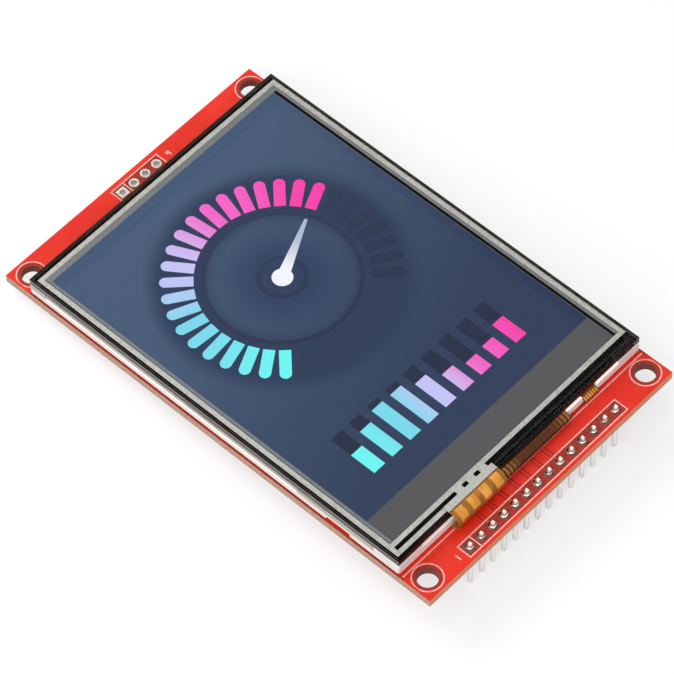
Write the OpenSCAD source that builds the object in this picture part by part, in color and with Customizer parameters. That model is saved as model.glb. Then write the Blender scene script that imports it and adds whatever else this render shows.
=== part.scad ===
// TFT display module: a liquid-crystal panel with resistive touch, taped to a red carrier board
// that has a pin header and a full-size card socket on its underside.
// X runs across the picture, Y towards the card header, Z out of the screen.
// Z = 0 is the board's underside, and the origin lies midway between the four mounting holes.

/* [Board] */
// Width of the carrier board
board_w = 55.04; // [54:0.02:60]
// Length of the carrier board
board_l = 89.3; // [87:0.1:100]
// Thickness of the board with its copper and solder mask
board_t = 1.6; // [1:0.1:2.4]
// Thickness of each copper layer
copper_t = 0.035; // [0.02:0.005:0.07]
// Thickness of the solder mask
mask_t = 0.03; // [0.02:0.005:0.06]
// Width of a copper track
track_w = 0.35; // [0.2:0.05:0.7]
// Gap kept between the copper plane and any other copper
copper_gap = 0.3; // [0.15:0.05:0.4]
// Bare strip between the copper plane and the board's edge
copper_inset = 0.4; // [0.2:0.05:0.8]
// Thickness of the printed white lines
silk_t = 0.02; // [0.01:0.005:0.04]
// Width of the printed white lines
silk_w = 0.22; // [0.12:0.01:0.3]
// Gap between a printed line and the part or pad that it marks
silk_gap = 0.24; // [0.15:0.01:0.4]
// Height of a printed digit
digit_h = 1.2; // [0.8:0.1:1.5]
// Distance from the display to the printed line beside it
print_line_gap = 0.6; // [0.4:0.05:0.9]
// Diameter of the mounting holes
hole_d = 3.4; // [2.4:0.1:3.6]
// Distance of a mounting hole from the board's long edge
hole_inset_x = 2.82; // [2.4:0.02:3.4]
// Distance of a mounting hole from the board's short edge
hole_inset_y = 2.97; // [2.4:0.01:3.4]
// Distance from the hole's wall to the printed ring round it
hole_ring_gap = 0.6; // [0.4:0.05:0.9]

/* [Pin header] */
// Number of pins in the main header
pin_count = 14; // [10:1:16]
// Distance between neighbouring pins
pin_pitch = 2.54; // [2:0.01:2.54]
// Side of a square pin
pin_w = 0.64; // [0.5:0.02:0.7]
// Length of a pin below its housing
pin_reach = 7.04; // [4:0.01:9]
// Length of a pin above the board
pin_tail = 1.3; // [0.8:0.1:2]
// Length of a pin's tapered tip
pin_taper = 0.45; // [0.2:0.05:0.7]
// Height of the header's plastic housing
housing_h = 1.5; // [1.2:0.01:3]
// Width of the header's plastic housing
housing_w = 2.5; // [2.2:0.05:2.8]
// Distance of the pin row from the board's edge
header_inset = 1.95; // [1.7:0.05:2.4]
// Outer size of a plated pad
pad_d = 1.7; // [1.4:0.05:1.9]
// Diameter of a pin's drilled hole
drill_d = 1.0; // [0.95:0.05:1.1]
// Height of the solder fillet above the pad
fillet_h = 0.7; // [0.3:0.05:1]
// Number of holes in the card header
card_pin_count = 4; // [2:1:6]
// Distance of the card header from the board's edge
card_header_inset = 2.25; // [1.8:0.05:2.6]
// Half width of the printed box round a header
box_half_w = 1.32; // [1.3:0.02:1.5]
// Length of a track from the display's edge to its via
track_reach = 3; // [1:0.5:4]
// Depth of the cut corners between the housing's segments
housing_cut = 0.45; // [0.2:0.05:0.6]

/* [Display frame] */
// Gap between the display's long sides and the board's edges
lcm_side_gap = 0.22; // [0:0.02:1]
// Distance from the board's pin end to the display
lcm_inset = 6.35; // [5.8:0.05:7]
// Distance from the board's card end to the display
lcm_far_inset = 5.25; // [4.6:0.05:6]
// Thickness of the foam tape between display and board
tape_t = 0.3; // [0.28:0.01:0.8]
// Width of a side strip of the foam tape
tape_w = 5; // [3:0.5:6]
// Distance from the display's edge to the foam tape
tape_inset = 1.2; // [0.5:0.1:2]
// Thickness of the frame's wall beside the glass
wall_t = 0.85; // [0.7:0.05:1.2]
// Thickness of the low rim that the flexes roll over
rim_t = 0.7; // [0.5:0.05:1]
// Height of the low rim above the frame's underside
rim_h = 1.4; // [1.2:0.05:1.45]
// Length of each tall block at the rim's ends
block_l = 5.1; // [3:0.1:6]
// Width of the ledge that carries the glass
ledge_w = 0.7; // [0.5:0.05:1]
// Radius of the frame's upright corners
frame_r = 0.4; // [0.2:0.05:0.8]
// Height of the proud skirt along the frame's long walls
skirt_h = 1.05; // [0.8:0.05:1.3]
// Depth of the step above the skirt
skirt_step = 0.14; // [0.05:0.01:0.3]
// Depth of the notches in the long walls
notch_d = 0.4; // [0.2:0.05:0.5]
// Length of the wall notch near the pin end
near_notch_l = 6; // [4:0.5:7]
// Length of the wall notch near the middle
middle_notch_l = 9; // [6:0.5:11]
// Length of the wall notch near the card end
far_notch_l = 7; // [4:0.5:8]
// Distance from the display's pin end to the middle of the near notch
near_notch_y = 17.8; // [17:0.1:19]
// Distance from the display's pin end to the middle of the middle notch
middle_notch_y = 41.8; // [38:0.1:46]
// Distance from the display's far end to the middle of the far notch
far_notch_y = 9.8; // [7:0.1:12]
// Distance from the display's pin end to the notch under the skirt
foot_notch_y = 12.4; // [11:0.1:13]
// Length and height of the notch under the skirt
foot_notch_l = 4.8; // [3:0.1:6]
foot_notch_h = 0.65; // [0.4:0.05:0.8]
// Distance from the display's pin end to the start of the skirt's step
step_start = 20.8; // [20.5:0.1:24]
// Distance from the display's far end to the end of the skirt's step
step_end = 3.5; // [2:0.1:5]
// Clearance round the pieces that drop into the frame
seat_gap = 0.05; // [0.02:0.01:0.15]

/* [Backlight] */
// Thickness of the reflector under the light guide
reflector_t = 0.08; // [0.05:0.01:0.15]
// Thickness of the light guide
guide_t = 0.65; // [0.5:0.05:0.9]
// Thickness of each diffusing or prism sheet
sheet_t = 0.07; // [0.05:0.01:0.12]
// Number of lamps along the guide's edge
led_count = 6; // [3:1:8]
// Length of a lamp
led_l = 3; // [2:0.1:3.8]
// Depth of a lamp
led_d = 0.8; // [0.6:0.05:1]
// Height of a lamp
led_h = 0.6; // [0.4:0.05:0.6]
// Width of the lamp strip's tail
light_tail_w = 3.2; // [2.4:0.1:4]
// Position of the lamp strip's tail across the display
light_tail_x = 15.65; // [14:0.05:17]

/* [Liquid-crystal cell] */
// Thickness of the rim tape under the cell
rim_tape_t = 0.06; // [0.04:0.01:0.1]
// Thickness of a polarising film
polariser_t = 0.12; // [0.1:0.01:0.2]
// Thickness of each glass sheet of the cell
cell_glass_t = 0.4; // [0.3:0.05:0.7]
// Thickness of the layer between the glass sheets
crystal_t = 0.02; // [0.02:0.005:0.05]
// Length of the bare glass ledge at the pin end
glass_ledge = 2.5; // [2.3:0.1:3.5]
// Distance from the display's long sides to the picture
picture_side = 1.5; // [1.2:0.1:4]
// Distance from the display's pin end to the picture
picture_foot = 9.2; // [6.5:0.1:10]
// Distance from the display's far end to the picture
picture_inset = 2; // [1.6:0.1:5]
// Length of the driver chip
chip_l = 20; // [12:0.5:30]
// Width of the driver chip
chip_w = 0.9; // [0.7:0.05:1]
// Thickness of the driver chip
chip_t = 0.3; // [0.2:0.02:0.36]
// Gap between the driver chip and the filter glass
chip_gap = 0.35; // [0.2:0.05:0.5]
// Thickness of the black tape over the driver chip
ledge_tape_t = 0.05; // [0.03:0.01:0.06]

/* [Flexes] */
// Thickness of a flexible circuit
flex_t = 0.08; // [0.05:0.01:0.1]
// Thickness of the metal on a flexible circuit
trace_t = 0.02; // [0.01:0.005:0.03]
// Number of contacts on the display's flex
flex_count = 18; // [12:1:20]
// Distance between the contacts of the display's flex
flex_pitch = 0.8; // [0.5:0.05:0.9]
// Position of the display's flex across the display
flex_x = 3.05; // [2:0.05:3.5]
// Number of contacts on the touch panel's tail
touch_count = 4; // [4:1:5]
// Distance between the contacts of the touch panel's tail
touch_pitch = 2.6; // [1.7:0.05:2.65]
// Width of a contact on the touch panel's tail
touch_trace_w = 1.55; // [0.8:0.05:1.6]
// Position of the touch panel's tail across the display
touch_x = -10.4; // [-12:0.05:-10]
// Thickness of the solder under a flex
solder_t = 0.02; // [0.01:0.005:0.04]
// Distance from the display's pin end to the flex's wing under the frame
wing_inset = 1.6; // [1:0.1:2]
// Length of the wing along the board
wing_l = 3.4; // [3:0.1:3.6]
// Gap between the wing and the flex's solder pads
flex_pad_gap = 0.4; // [0.2:0.05:0.8]
// Length of the flex's solder pads
flex_pad_l = 2.2; // [1.5:0.1:3]
// Bare margin of a flex beside its outer contact or tail
flex_margin = 0.2; // [0.1:0.05:0.3]
// Length of a bonded strip on the glass
bond_l = 1; // [0.6:0.1:1.4]

/* [Touch panel] */
// Thickness of the gasket between display and touch panel
gasket_t = 0.15; // [0.1:0.01:0.4]
// Width of the gasket along three sides
gasket_w = 1.95; // [1.5:0.05:2.2]
// Thickness of the touch panel's glass
touch_glass_t = 1.0; // [0.7:0.05:1.4]
// Distance from the display's edge to the touch glass
touch_inset = 0.1; // [0.05:0.01:0.3]
// Thickness of the touch panel's top film
film_t = 0.19; // [0.12:0.01:0.25]
// Distance from the touch glass's edge to the film
film_inset = 0.2; // [0.1:0.05:0.4]
// Thickness of a printed silver line
silver_t = 0.015; // [0.01:0.005:0.03]
// Width of the silver lines
silver_w = 0.8; // [0.5:0.05:1]
// Distance from the touch glass's edge to the silver line
silver_inset = 0.65; // [0.5:0.05:0.8]
// Distance from the touch glass's far end to the silver line
silver_far_inset = 1.15; // [0.5:0.05:1.4]
// Width of the grey inner line
inner_line_w = 0.5; // [0.3:0.05:0.6]
// Width of the grey inner line at the far end
inner_far_w = 1; // [0.3:0.05:1.2]

/* [Picture] */
// Radius of the dial to the middle of its bars
dial_r = 16; // [12:0.5:18]
// Height of the dial's centre above the picture's middle
dial_rise = 7; // [3:0.5:8]
// Number of bars round the dial
dial_bars = 28; // [16:1:32]
// Angle that the dial's bars span
dial_sweep = 270; // [180:5:300]
// Length of a bar on the dial
dial_bar_l = 4.4; // [2:0.1:5]
// Width of a bar on the dial
dial_bar_w = 1.9; // [1:0.1:2]
// Number of columns in the row below the dial
column_count = 9; // [3:3:12]
// Distance between the columns
column_pitch = 4; // [3:0.1:4]
// Width of a column
column_w = 2.4; // [1:0.1:2.6]
// Height of a full column
column_h = 9; // [6:0.5:10]
// Distance from the picture's lower edge to the columns
column_rise = 5; // [3:0.5:6]
// Radius of the hub at the dial's middle
hub_r = 1.7; // [1:0.1:2.5]
// Width of the rings inside the dial's bars
ring_w = 0.7; // [0.3:0.1:1]

/* [Card socket] */
// Depth of the card socket from its mouth to its rear
socket_d = 26.5; // [25:0.1:30]
// Width of the card socket
socket_w = 28; // [27.4:0.1:30]
// Height of the card socket
socket_h = 2.9; // [2.7:0.05:3.4]
// Position of the card socket along the board
socket_y = 18; // [14:0.5:22]
// Distance from the board's long edge to the socket's mouth
socket_inset = 0.25; // [0:0.05:1]
// Thickness of the socket's folded steel
shell_t = 0.2; // [0.15:0.01:0.25]
// Thickness of the socket's plastic floor
floor_t = 0.55; // [0.5:0.05:0.6]
// Width of the card that the socket takes
card_w = 24; // [23.9:0.05:24.1]
// Clearance on each side of the card
card_gap = 0.15; // [0.1:0.01:0.25]
// Number of sprung contacts
contact_count = 9; // [7:1:9]
// Distance between the sprung contacts
contact_pitch = 2.5; // [2.3:0.1:2.5]
// Width of a sprung contact
contact_w = 0.7; // [0.5:0.05:0.9]
// Thickness of a sprung contact
contact_t = 0.15; // [0.1:0.01:0.2]
// Length of a sprung contact inside the socket
contact_l = 8; // [6:0.5:9]
// How far a contact reaches below the socket's floor
contact_drop = 0.75; // [0.5:0.05:0.9]
// Radius of a contact's rounded nose
nose_r = 0.35; // [0.25:0.05:0.4]
// Length of a contact's soldered tail behind the socket
contact_tail = 1.3; // [1:0.1:1.6]
// Clearance on each side of a contact in its slot
slot_gap = 0.1; // [0.05:0.01:0.2]
// Thickness of the socket's rear wall
rear_wall = 2.2; // [1.8:0.1:3]
// Radius of the thumb notch in the socket's mouth
thumb_r = 8.5; // [7:0.5:10]
// Distance from the socket's mouth to the middle of the thumb notch, outwards
thumb_out = 4; // [3:0.5:5]
// Length of the spring fingers cut in the shell
finger_l = 8; // [6:0.5:9]
// Width of the spring fingers
finger_w = 2.4; // [1.5:0.1:3]
// Width of the slot round a spring finger
finger_slot = 0.5; // [0.3:0.05:0.7]
// Distance of a spring finger from the socket's middle
finger_y = 7.5; // [6:0.5:8.5]
// Distance from the socket's rear to the spring fingers
finger_start = 11; // [10:0.5:12]
// Length of a snap window in the shell's side
window_l = 3; // [2:0.1:4]
// Height of a snap window
window_h = 0.8; // [0.5:0.05:0.9]
// Clearance of the snap nub in its window
nub_gap = 0.06; // [0.03:0.01:0.1]
// Length of a soldered foot of the shell
foot_l = 1.8; // [1.2:0.1:2.5]
// How far a soldered foot stands out
foot_reach = 1.1; // [0.8:0.1:1.5]
// Diameter of the socket's two pegs
peg_d = 1.5; // [1:0.1:1.7]
// Length of the socket's pegs
peg_h = 1.2; // [0.8:0.1:1.4]
// Clearance round a peg in the board
peg_gap = 0.05; // [0.03:0.01:0.1]

/* [Chips] */
// Length of the touch controller's body
tssop_l = 5; // [4.4:0.1:6]
// Width of the touch controller's body
tssop_w = 4.4; // [4:0.1:5]
// Height of the touch controller's body
tssop_h = 1.0; // [0.8:0.05:1.2]
// Number of leads on each side of the touch controller
tssop_leads = 8; // [6:1:8]
// Distance between the touch controller's leads
tssop_pitch = 0.65; // [0.5:0.05:0.65]
// Length of a three-lead package
sot_l = 2.9; // [2.6:0.1:3.2]
// Width of a three-lead package
sot_w = 1.3; // [1.1:0.05:1.6]
// Height of a three-lead package
sot_h = 0.95; // [0.8:0.05:1.2]
// Length of a resistor or capacitor
chip_part_l = 1.6; // [1.2:0.1:2]
// Width of a resistor or capacitor
chip_part_w = 0.8; // [0.6:0.05:1]
// Height of a resistor
resistor_h = 0.45; // [0.3:0.05:0.6]
// Height of a capacitor
capacitor_h = 0.8; // [0.5:0.05:0.9]
// Thickness of a lead
lead_t = 0.15; // [0.1:0.01:0.2]
// Reach of the touch controller's leads
tssop_reach = 1; // [0.8:0.05:1.2]
// Width of the touch controller's leads
tssop_lead_w = 0.24; // [0.18:0.01:0.3]
// Reach of a three-lead package's leads
sot_reach = 0.65; // [0.5:0.05:0.8]
// Width of a three-lead package's leads
sot_lead_w = 0.42; // [0.3:0.02:0.5]
// Distance of a three-lead package's outer leads from its middle
sot_pitch = 0.95; // [0.9:0.05:1.1]
// Length of a chip part's metal ends
chip_end = 0.3; // [0.2:0.05:0.45]
// Thickness of the metal on a chip part's ends
chip_swell = 0.03; // [0.01:0.01:0.05]
// How far a solder pad reaches past its lead
pad_margin = 0.2; // [0.1:0.02:0.3]
// Distance between the leads of the empty eight-pad place
empty_pitch = 1.27; // [1:0.01:1.5]
// Distance of those pads from the middle of their place
empty_reach = 2.7; // [2.3:0.1:3.2]

/* [Hidden] */
$fn = 48;

// Colours
mask_red = [0.85, 0.20, 0.17];
laminate = [0.80, 0.62, 0.47];
copper_colour = [0.80, 0.48, 0.30];
silk_white = [1.0, 0.80, 0.78];
tin = [0.80, 0.79, 0.76];
gold = [0.86, 0.66, 0.30];
amber = [0.86, 0.56, 0.16];
brown_flex = [0.42, 0.27, 0.10];
black_plastic = [0.10, 0.10, 0.11];
frame_white = [0.95, 0.90, 0.88];
silver_ink = [0.73, 0.72, 0.68];
clear_glass = [0.85, 0.95, 0.95, 0.15];
picture_navy = [0.24, 0.32, 0.46];

// Levels of the board, counted up from its underside
z_core_low = mask_t + copper_t;
z_core_top = board_t - mask_t - copper_t;

// Levels of the display, counted up from the board
z_frame = board_t + tape_t;
z_guide = z_frame + reflector_t;
z_sheets = z_guide + guide_t;
z_ledge = z_sheets + 3 * sheet_t;
z_rear_pol = z_ledge + rim_tape_t;
z_array = z_rear_pol + polariser_t;
z_crystal = z_array + cell_glass_t;
z_filter = z_crystal + crystal_t;
z_front_pol = z_filter + cell_glass_t;
z_wall = z_front_pol + polariser_t;
z_touch = z_wall + gasket_t;
z_silver_low = z_touch + touch_glass_t;
z_tail = z_silver_low + silver_t;
z_silver_high = z_tail + flex_t;
z_film = z_silver_high + silver_t;
z_front = z_film + film_t;

// Places along the board
pin_end = -board_l / 2;
card_end = board_l / 2;
header_y = pin_end + header_inset;
card_header_y = card_end - card_header_inset;
lcm_x = board_w / 2 - lcm_side_gap;
lcm_y0 = pin_end + lcm_inset;
lcm_y1 = card_end - lcm_far_inset;

// The frame's pocket for the glass, and its opening for the light
pocket_x = lcm_x - wall_t;
pocket_y = [lcm_y0 + rim_t, lcm_y1 - wall_t];
opening_x = pocket_x - ledge_w;
opening_y = [pocket_y[0], pocket_y[1] - ledge_w];
glass_x = pocket_x - seat_gap;
glass_y = [pocket_y[0] + seat_gap, pocket_y[1] - seat_gap];
filter_y0 = glass_y[0] + glass_ledge;
window_x = opening_x - ledge_w / 2;
window_y = [filter_y0 + seat_gap, opening_y[1] - ledge_w / 2];
picture_x = lcm_x - picture_side;
picture_y = [lcm_y0 + picture_foot, lcm_y1 - picture_inset];
polariser_x = glass_x - 6 * seat_gap;
rim_x = lcm_x - block_l;

// The lamps stand between the rim and the light guide
led_y0 = opening_y[0] + led_d / 2;
guide_x = opening_x - seat_gap;
guide_y = [led_y0 + led_d + 2 * seat_gap, opening_y[1] - seat_gap];
sheet_y = [guide_y[0] + 2 * seat_gap, guide_y[1]];
z_led_flex = z_guide + led_h;

// Heights of the flexes' returning runs under the frame, counted from the board up
z_pad_top = board_t + solder_t / 2;
z_flex_low = z_pad_top + solder_t + trace_t + flex_t / 2;
z_wing_top = z_flex_low + flex_t / 2;
z_tail_low = z_wing_top + solder_t + trace_t + flex_t / 2;
z_flex_high = z_crystal + trace_t + flex_t / 2;
z_tail_high = z_tail + flex_t / 2;
flex_w = flex_count * flex_pitch;
touch_w = touch_count * touch_pitch + 2 * flex_margin;
roll_y = lcm_y0;
wing_y = [lcm_y0 + wing_inset, lcm_y0 + wing_inset + wing_l];
flex_pad_y = [wing_y[1] + flex_pad_gap, wing_y[1] + flex_pad_gap + flex_pad_l];
flex_trace_w = flex_pitch / 2;
light_traces = 6;
light_trace_pitch = light_tail_w / (light_traces + 0.5);

// Picture
dial_y = (picture_y[0] + picture_y[1]) / 2 + dial_rise;
dial_inner_r = dial_r - dial_bar_l / 2;
lit_bars = round(dial_bars * 0.75);
column_base = picture_y[0] + column_rise;

// Touch panel
touch_x_half = lcm_x - touch_inset;
touch_y = [lcm_y0 + touch_inset, lcm_y1 - touch_inset];
film_x = touch_x_half - film_inset;
film_y = [touch_y[0] + film_inset, touch_y[1] - film_inset];
silver_x = touch_x_half - silver_inset;
silver_y = [filter_y0 - 2 * seat_gap - silver_w, touch_y[1] - silver_far_inset];
tail_silver_y = [touch_y[0] + silver_inset + seat_gap, touch_y[0] + silver_inset + seat_gap + silver_w];
tail_x = [touch_x - touch_w / 2, touch_x + touch_w / 2];
tail_pad_y = [film_y[0], tail_silver_y[1]];
gasket_end_y = filter_y0 + 2 * seat_gap;

// Card socket
socket_x1 = board_w / 2 - socket_inset;
socket_x0 = socket_x1 - socket_d;
socket_low = -socket_h;
tray_w = socket_w - 2 * shell_t;
channel_w = card_w + 2 * card_gap;
tray_x = [socket_x0 + 5 * shell_t, socket_x1 - 3 * shell_t];
channel_x0 = socket_x0 + rear_wall;
foot_x = [socket_x0 + 1.5 * foot_l, socket_x1 - 2.5 * foot_l];
window_x0 = [socket_x0 + 3 * window_l, socket_x1 - 3 * window_l];
snap_z = [-2 * window_h, -window_h];
peg_x = socket_x0 + 3 * peg_d;
peg_y = [socket_y - socket_w * 0.41, socket_y + socket_w * 0.41];

// Parts on the underside: [x, y, turn]
tssop_at = [-13, -21];
sot_at = [[7, -29], [17, -29]];
resistor_at = [[-23, -28, 90], [-20.5, -28, 90], [-18, -28, 90], [-5, -24, 0], [-5, -21.5, 0],
               [-5, -19, 0], [12, -33.5, 0], [21.5, -31, 90], [-22, -4, 0], [-22, -1.5, 0]];
capacitor_at = [[-13, -16, 0], [-19, -21, 90], [3, -29, 90], [11, -29, 90], [-9, 19, 90]];
empty_at = [-14, 6];

// ---------------------------------------------------------------- shared shapes

// Box given by its low and high value along each axis
module span(x, y, z) {
    translate([x[0], y[0], z[0]]) cube([x[1] - x[0], y[1] - y[0], z[1] - z[0]]);
}

// Box centred across the display
module sheet(half_x, y, z) {
    span([-half_x, half_x], y, z);
}

// Flat rectangle given by its low and high values
module patch(x, y) {
    translate([x[0], y[0]]) square([x[1] - x[0], y[1] - y[0]]);
}

// Rectangle with true round corners
module round_patch(x, y, r) {
    patch([x[0] + r, x[1] - r], y);
    patch(x, [y[0] + r, y[1] - r]);
    for (cx = [x[0] + r, x[1] - r], cy = [y[0] + r, y[1] - r]) translate([cx, cy]) circle(r);
}

// Rectangular outline of one line width, centred on the given box
module outline(x, y, w) {
    difference() {
        patch([x[0] - w / 2, x[1] + w / 2], [y[0] - w / 2, y[1] + w / 2]);
        patch([x[0] + w / 2, x[1] - w / 2], [y[0] + w / 2, y[1] - w / 2]);
    }
}

// Outline with its own inner and outer boxes
module border(outer_x, outer_y, inner_x, inner_y) {
    difference() {
        patch(outer_x, outer_y);
        patch(inner_x, inner_y);
    }
}

function row_x(i, count, pitch) = (i - (count - 1) / 2) * pitch;

// Children set out in a row along X
module in_row(count, pitch) {
    for (i = [0 : count - 1]) translate([row_x(i, count, pitch), 0, 0]) children();
}

// Numeral 1 or 4, drawn with straight strokes, h high
module numeral(n, h, t) {
    w = h / 2;
    patch([w - t, w], [0, h]);
    if (n == 4) {
        patch([0, w], [w - t / 2, w + t / 2]);
        patch([0, t], [w - t / 2, h]);
    }
}

// Strip that runs out over the rim, rolls down round it and returns underneath.
// in and out are the faces of the strip, counted outwards from its middle.
module rolled_strip(x, y_top, y_under, z_high, z_low, in, out) {
    r = (z_high - z_low) / 2;
    translate([x[0], 0, 0]) rotate([90, 0, 90]) linear_extrude(x[1] - x[0]) {
        patch([roll_y, y_top], [z_high + in, z_high + out]);
        patch([roll_y, y_under], [z_low - out, z_low - in]);
        intersection() {
            translate([roll_y, (z_high + z_low) / 2]) difference() {
                circle(r + out);
                circle(r + in);
            }
            patch([roll_y - r - 1, roll_y], [z_low - 1, z_high + 1]);
        }
    }
}

// ---------------------------------------------------------------- board

module at_mounting_holes() {
    for (sx = [-1, 1], sy = [-1, 1])
        translate([sx * (board_w / 2 - hole_inset_x), sy * (board_l / 2 - hole_inset_y), 0]) children();
}

module at_pins() {
    translate([0, header_y, 0]) in_row(pin_count, pin_pitch) children();
}

module at_card_pins() {
    translate([0, card_header_y, 0]) in_row(card_pin_count, pin_pitch) children();
}

module board_patch(inset) {
    patch([-board_w / 2 + inset, board_w / 2 - inset], [pin_end + inset, card_end - inset]);
}

module header_box(count, y, grow) {
    half = count * pin_pitch / 2;
    patch([-half - grow, half + grow], [y - box_half_w - grow, y + box_half_w + grow]);
}

// Pads of both headers: the first is square and the others are round
module through_pads(count, y, size) {
    x1 = row_x(0, count, pin_pitch);
    patch([x1 - size / 2, x1 + size / 2], [y - size / 2, y + size / 2]);
    for (i = [1 : count - 1]) translate([row_x(i, count, pin_pitch), y]) circle(d = size);
}

// Tracks that leave the header and run under the display
module top_tracks(w) {
    reach = lcm_y0 + track_reach;
    for (i = [2 : min(8, pin_count - 2)]) {
        x = row_x(i, pin_count, pin_pitch);
        patch([x - w / 2, x + w / 2], [header_y, reach]);
        translate([x, reach]) circle(d = w);
    }
}

// Copper plane of the upper face, with its edges moved out by grow
module top_plane(grow) {
    difference() {
        board_patch(copper_inset - grow);
        at_mounting_holes() circle(d = hole_d + 2 * hole_ring_gap - 2 * grow);
        header_box(pin_count, header_y, -silk_w / 2 - grow);
        header_box(card_pin_count, card_header_y, -silk_w / 2 - grow);
        top_tracks(track_w + 2 * copper_gap - 2 * grow);
        display_pad_field(copper_gap - grow);
    }
}

module bottom_plane(grow) {
    difference() {
        board_patch(copper_inset - grow);
        at_mounting_holes() circle(d = hole_d + 2 * hole_ring_gap - 2 * grow);
        header_box(pin_count, header_y, -silk_w / 2 - grow);
        header_box(card_pin_count, card_header_y, -silk_w / 2 - grow);
        bottom_pad_field(copper_gap - grow);
    }
}

module display_pad_field(grow) {
    translate([flex_x, 0]) in_row(flex_count, flex_pitch)
        patch([-flex_trace_w / 2 - grow, flex_trace_w / 2 + grow],
              [flex_pad_y[0] - grow, flex_pad_y[1] + grow]);
}

// Through pads are left out of the copper planes and of the mask
module header_openings(grow) {
    through_pads(pin_count, header_y, pad_d + 2 * grow);
    through_pads(card_pin_count, card_header_y, pad_d + 2 * grow);
    at_mounting_holes() circle(d = hole_d + 2 * grow);
}

module circuit_board() {
    color(laminate) difference() {
        translate([0, 0, z_core_low]) linear_extrude(z_core_top - z_core_low) board_patch(0);
        translate([0, 0, -1]) {
            at_mounting_holes() cylinder(d = hole_d, h = board_t + 2);
            at_pins() cylinder(d = drill_d + 2 * copper_t, h = board_t + 2);
            at_card_pins() cylinder(d = drill_d + 2 * copper_t, h = board_t + 2);
            for (y = peg_y) translate([peg_x, y, 0]) cylinder(d = peg_d + 2 * peg_gap, h = board_t + 2);
        }
    }
}

module peg_openings() {
    for (y = peg_y) translate([peg_x, y]) circle(d = peg_d + 2 * peg_gap);
}

module copper_top() {
    color(copper_colour) translate([0, 0, z_core_top]) linear_extrude(copper_t) difference() {
        union() {
            top_plane(0);
            top_tracks(track_w);
        }
        header_openings(0);
        peg_openings();
    }
}

module copper_bottom() {
    color(copper_colour) translate([0, 0, mask_t]) linear_extrude(copper_t) difference() {
        bottom_plane(0);
        header_openings(0);
        peg_openings();
    }
}

// The mask lies low where the laminate is bare, and steps up over the copper
module solder_mask_top() {
    step = mask_t;
    color(mask_red) {
        translate([0, 0, z_core_top]) linear_extrude(copper_t) difference() {
            board_patch(0);
            top_plane(0);
            top_tracks(track_w);
            display_pad_field(step);
            header_openings(step);
            peg_openings();
        }
        translate([0, 0, z_core_top + copper_t]) linear_extrude(mask_t) difference() {
            union() {
                top_plane(step);
                top_tracks(track_w + 2 * step);
            }
            header_openings(step);
            peg_openings();
        }
    }
}

module solder_mask_bottom() {
    step = mask_t;
    color(mask_red) {
        translate([0, 0, mask_t]) linear_extrude(copper_t) difference() {
            board_patch(0);
            bottom_plane(0);
            bottom_pad_field(step);
            header_openings(step);
            peg_openings();
        }
        linear_extrude(mask_t) difference() {
            bottom_plane(step);
            header_openings(step);
            peg_openings();
        }
    }
}

// Printed box round a header, with a divider beside its first pad
module header_print(count, y) {
    half = count * pin_pitch / 2;
    divider_x = pin_pitch - half;
    outline([-half, half], [y - box_half_w, y + box_half_w], silk_w);
    patch([divider_x - silk_w / 2, divider_x + silk_w / 2], [y - box_half_w, y + box_half_w]);
}

// Printed box that shows round the header's housing
module housing_print() {
    half_x = pin_count * pin_pitch / 2 + silk_w / 2 + silk_gap;
    half_y = housing_w / 2 + silk_w / 2 + silk_gap;
    outline([-half_x, half_x], [header_y - half_y, header_y + half_y], silk_w);
}

module ring_print() {
    r = hole_d / 2 + hole_ring_gap + mask_t;
    at_mounting_holes() difference() {
        circle(r + silk_w);
        circle(r);
    }
}

// Outline of the display on the upper face, with the two headers and the holes
module silkscreen_top() {
    header_left = -pin_count * pin_pitch / 2;
    card_right = card_pin_count * pin_pitch / 2;
    line_y = lcm_y0 - print_line_gap;
    color(silk_white) translate([0, 0, board_t]) linear_extrude(silk_t) intersection() {
        board_patch(copper_inset);
        union() {
            patch([-board_w / 2, board_w / 2], [line_y - silk_w / 2, line_y + silk_w / 2]);
            header_print(pin_count, header_y);
            header_print(card_pin_count, card_header_y);
            ring_print();
            translate([header_left - digit_h * 1.5, header_y - digit_h / 2]) numeral(1, digit_h, silk_w);
            translate([card_right + digit_h, card_header_y - digit_h / 2]) numeral(4, digit_h, silk_w);
        }
    }
}

module silkscreen_bottom() {
    header_left = -pin_count * pin_pitch / 2;
    color(silk_white) translate([0, 0, -silk_t]) linear_extrude(silk_t) intersection() {
        board_patch(copper_inset);
        union() {
            housing_print();
            header_print(card_pin_count, card_header_y);
            ring_print();
            translate([header_left - digit_h * 1.5, header_y - digit_h / 2]) numeral(1, digit_h, silk_w);
            parts_print();
        }
    }
}

// Marks beside the chips: end lines for each, and a dot at the controller's first lead
module parts_print() {
    for (at = concat(resistor_at, capacitor_at)) translate([at[0], at[1]]) rotate(at[2])
        for (s = [-1, 1]) translate([0, s * (chip_part_w / 2 + silk_gap + silk_w / 2)])
            square([chip_part_l, silk_w], center = true);
    translate(tssop_at) {
        for (s = [-1, 1]) translate([0, s * (tssop_l / 2 + silk_gap + silk_w / 2)])
            square([tssop_w, silk_w], center = true);
        translate([-tssop_w / 2 - tssop_reach, tssop_l / 2 + silk_gap]) circle(silk_w);
    }
    translate(empty_at) outline([-empty_pitch, empty_pitch], [-2 * empty_pitch, 2 * empty_pitch], silk_w);
    for (at = sot_at, s = [-1, 1]) translate([at[0] + s * (sot_l / 2 + silk_gap + silk_w / 2), at[1]])
        square([silk_w, sot_w], center = true);
}

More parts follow.
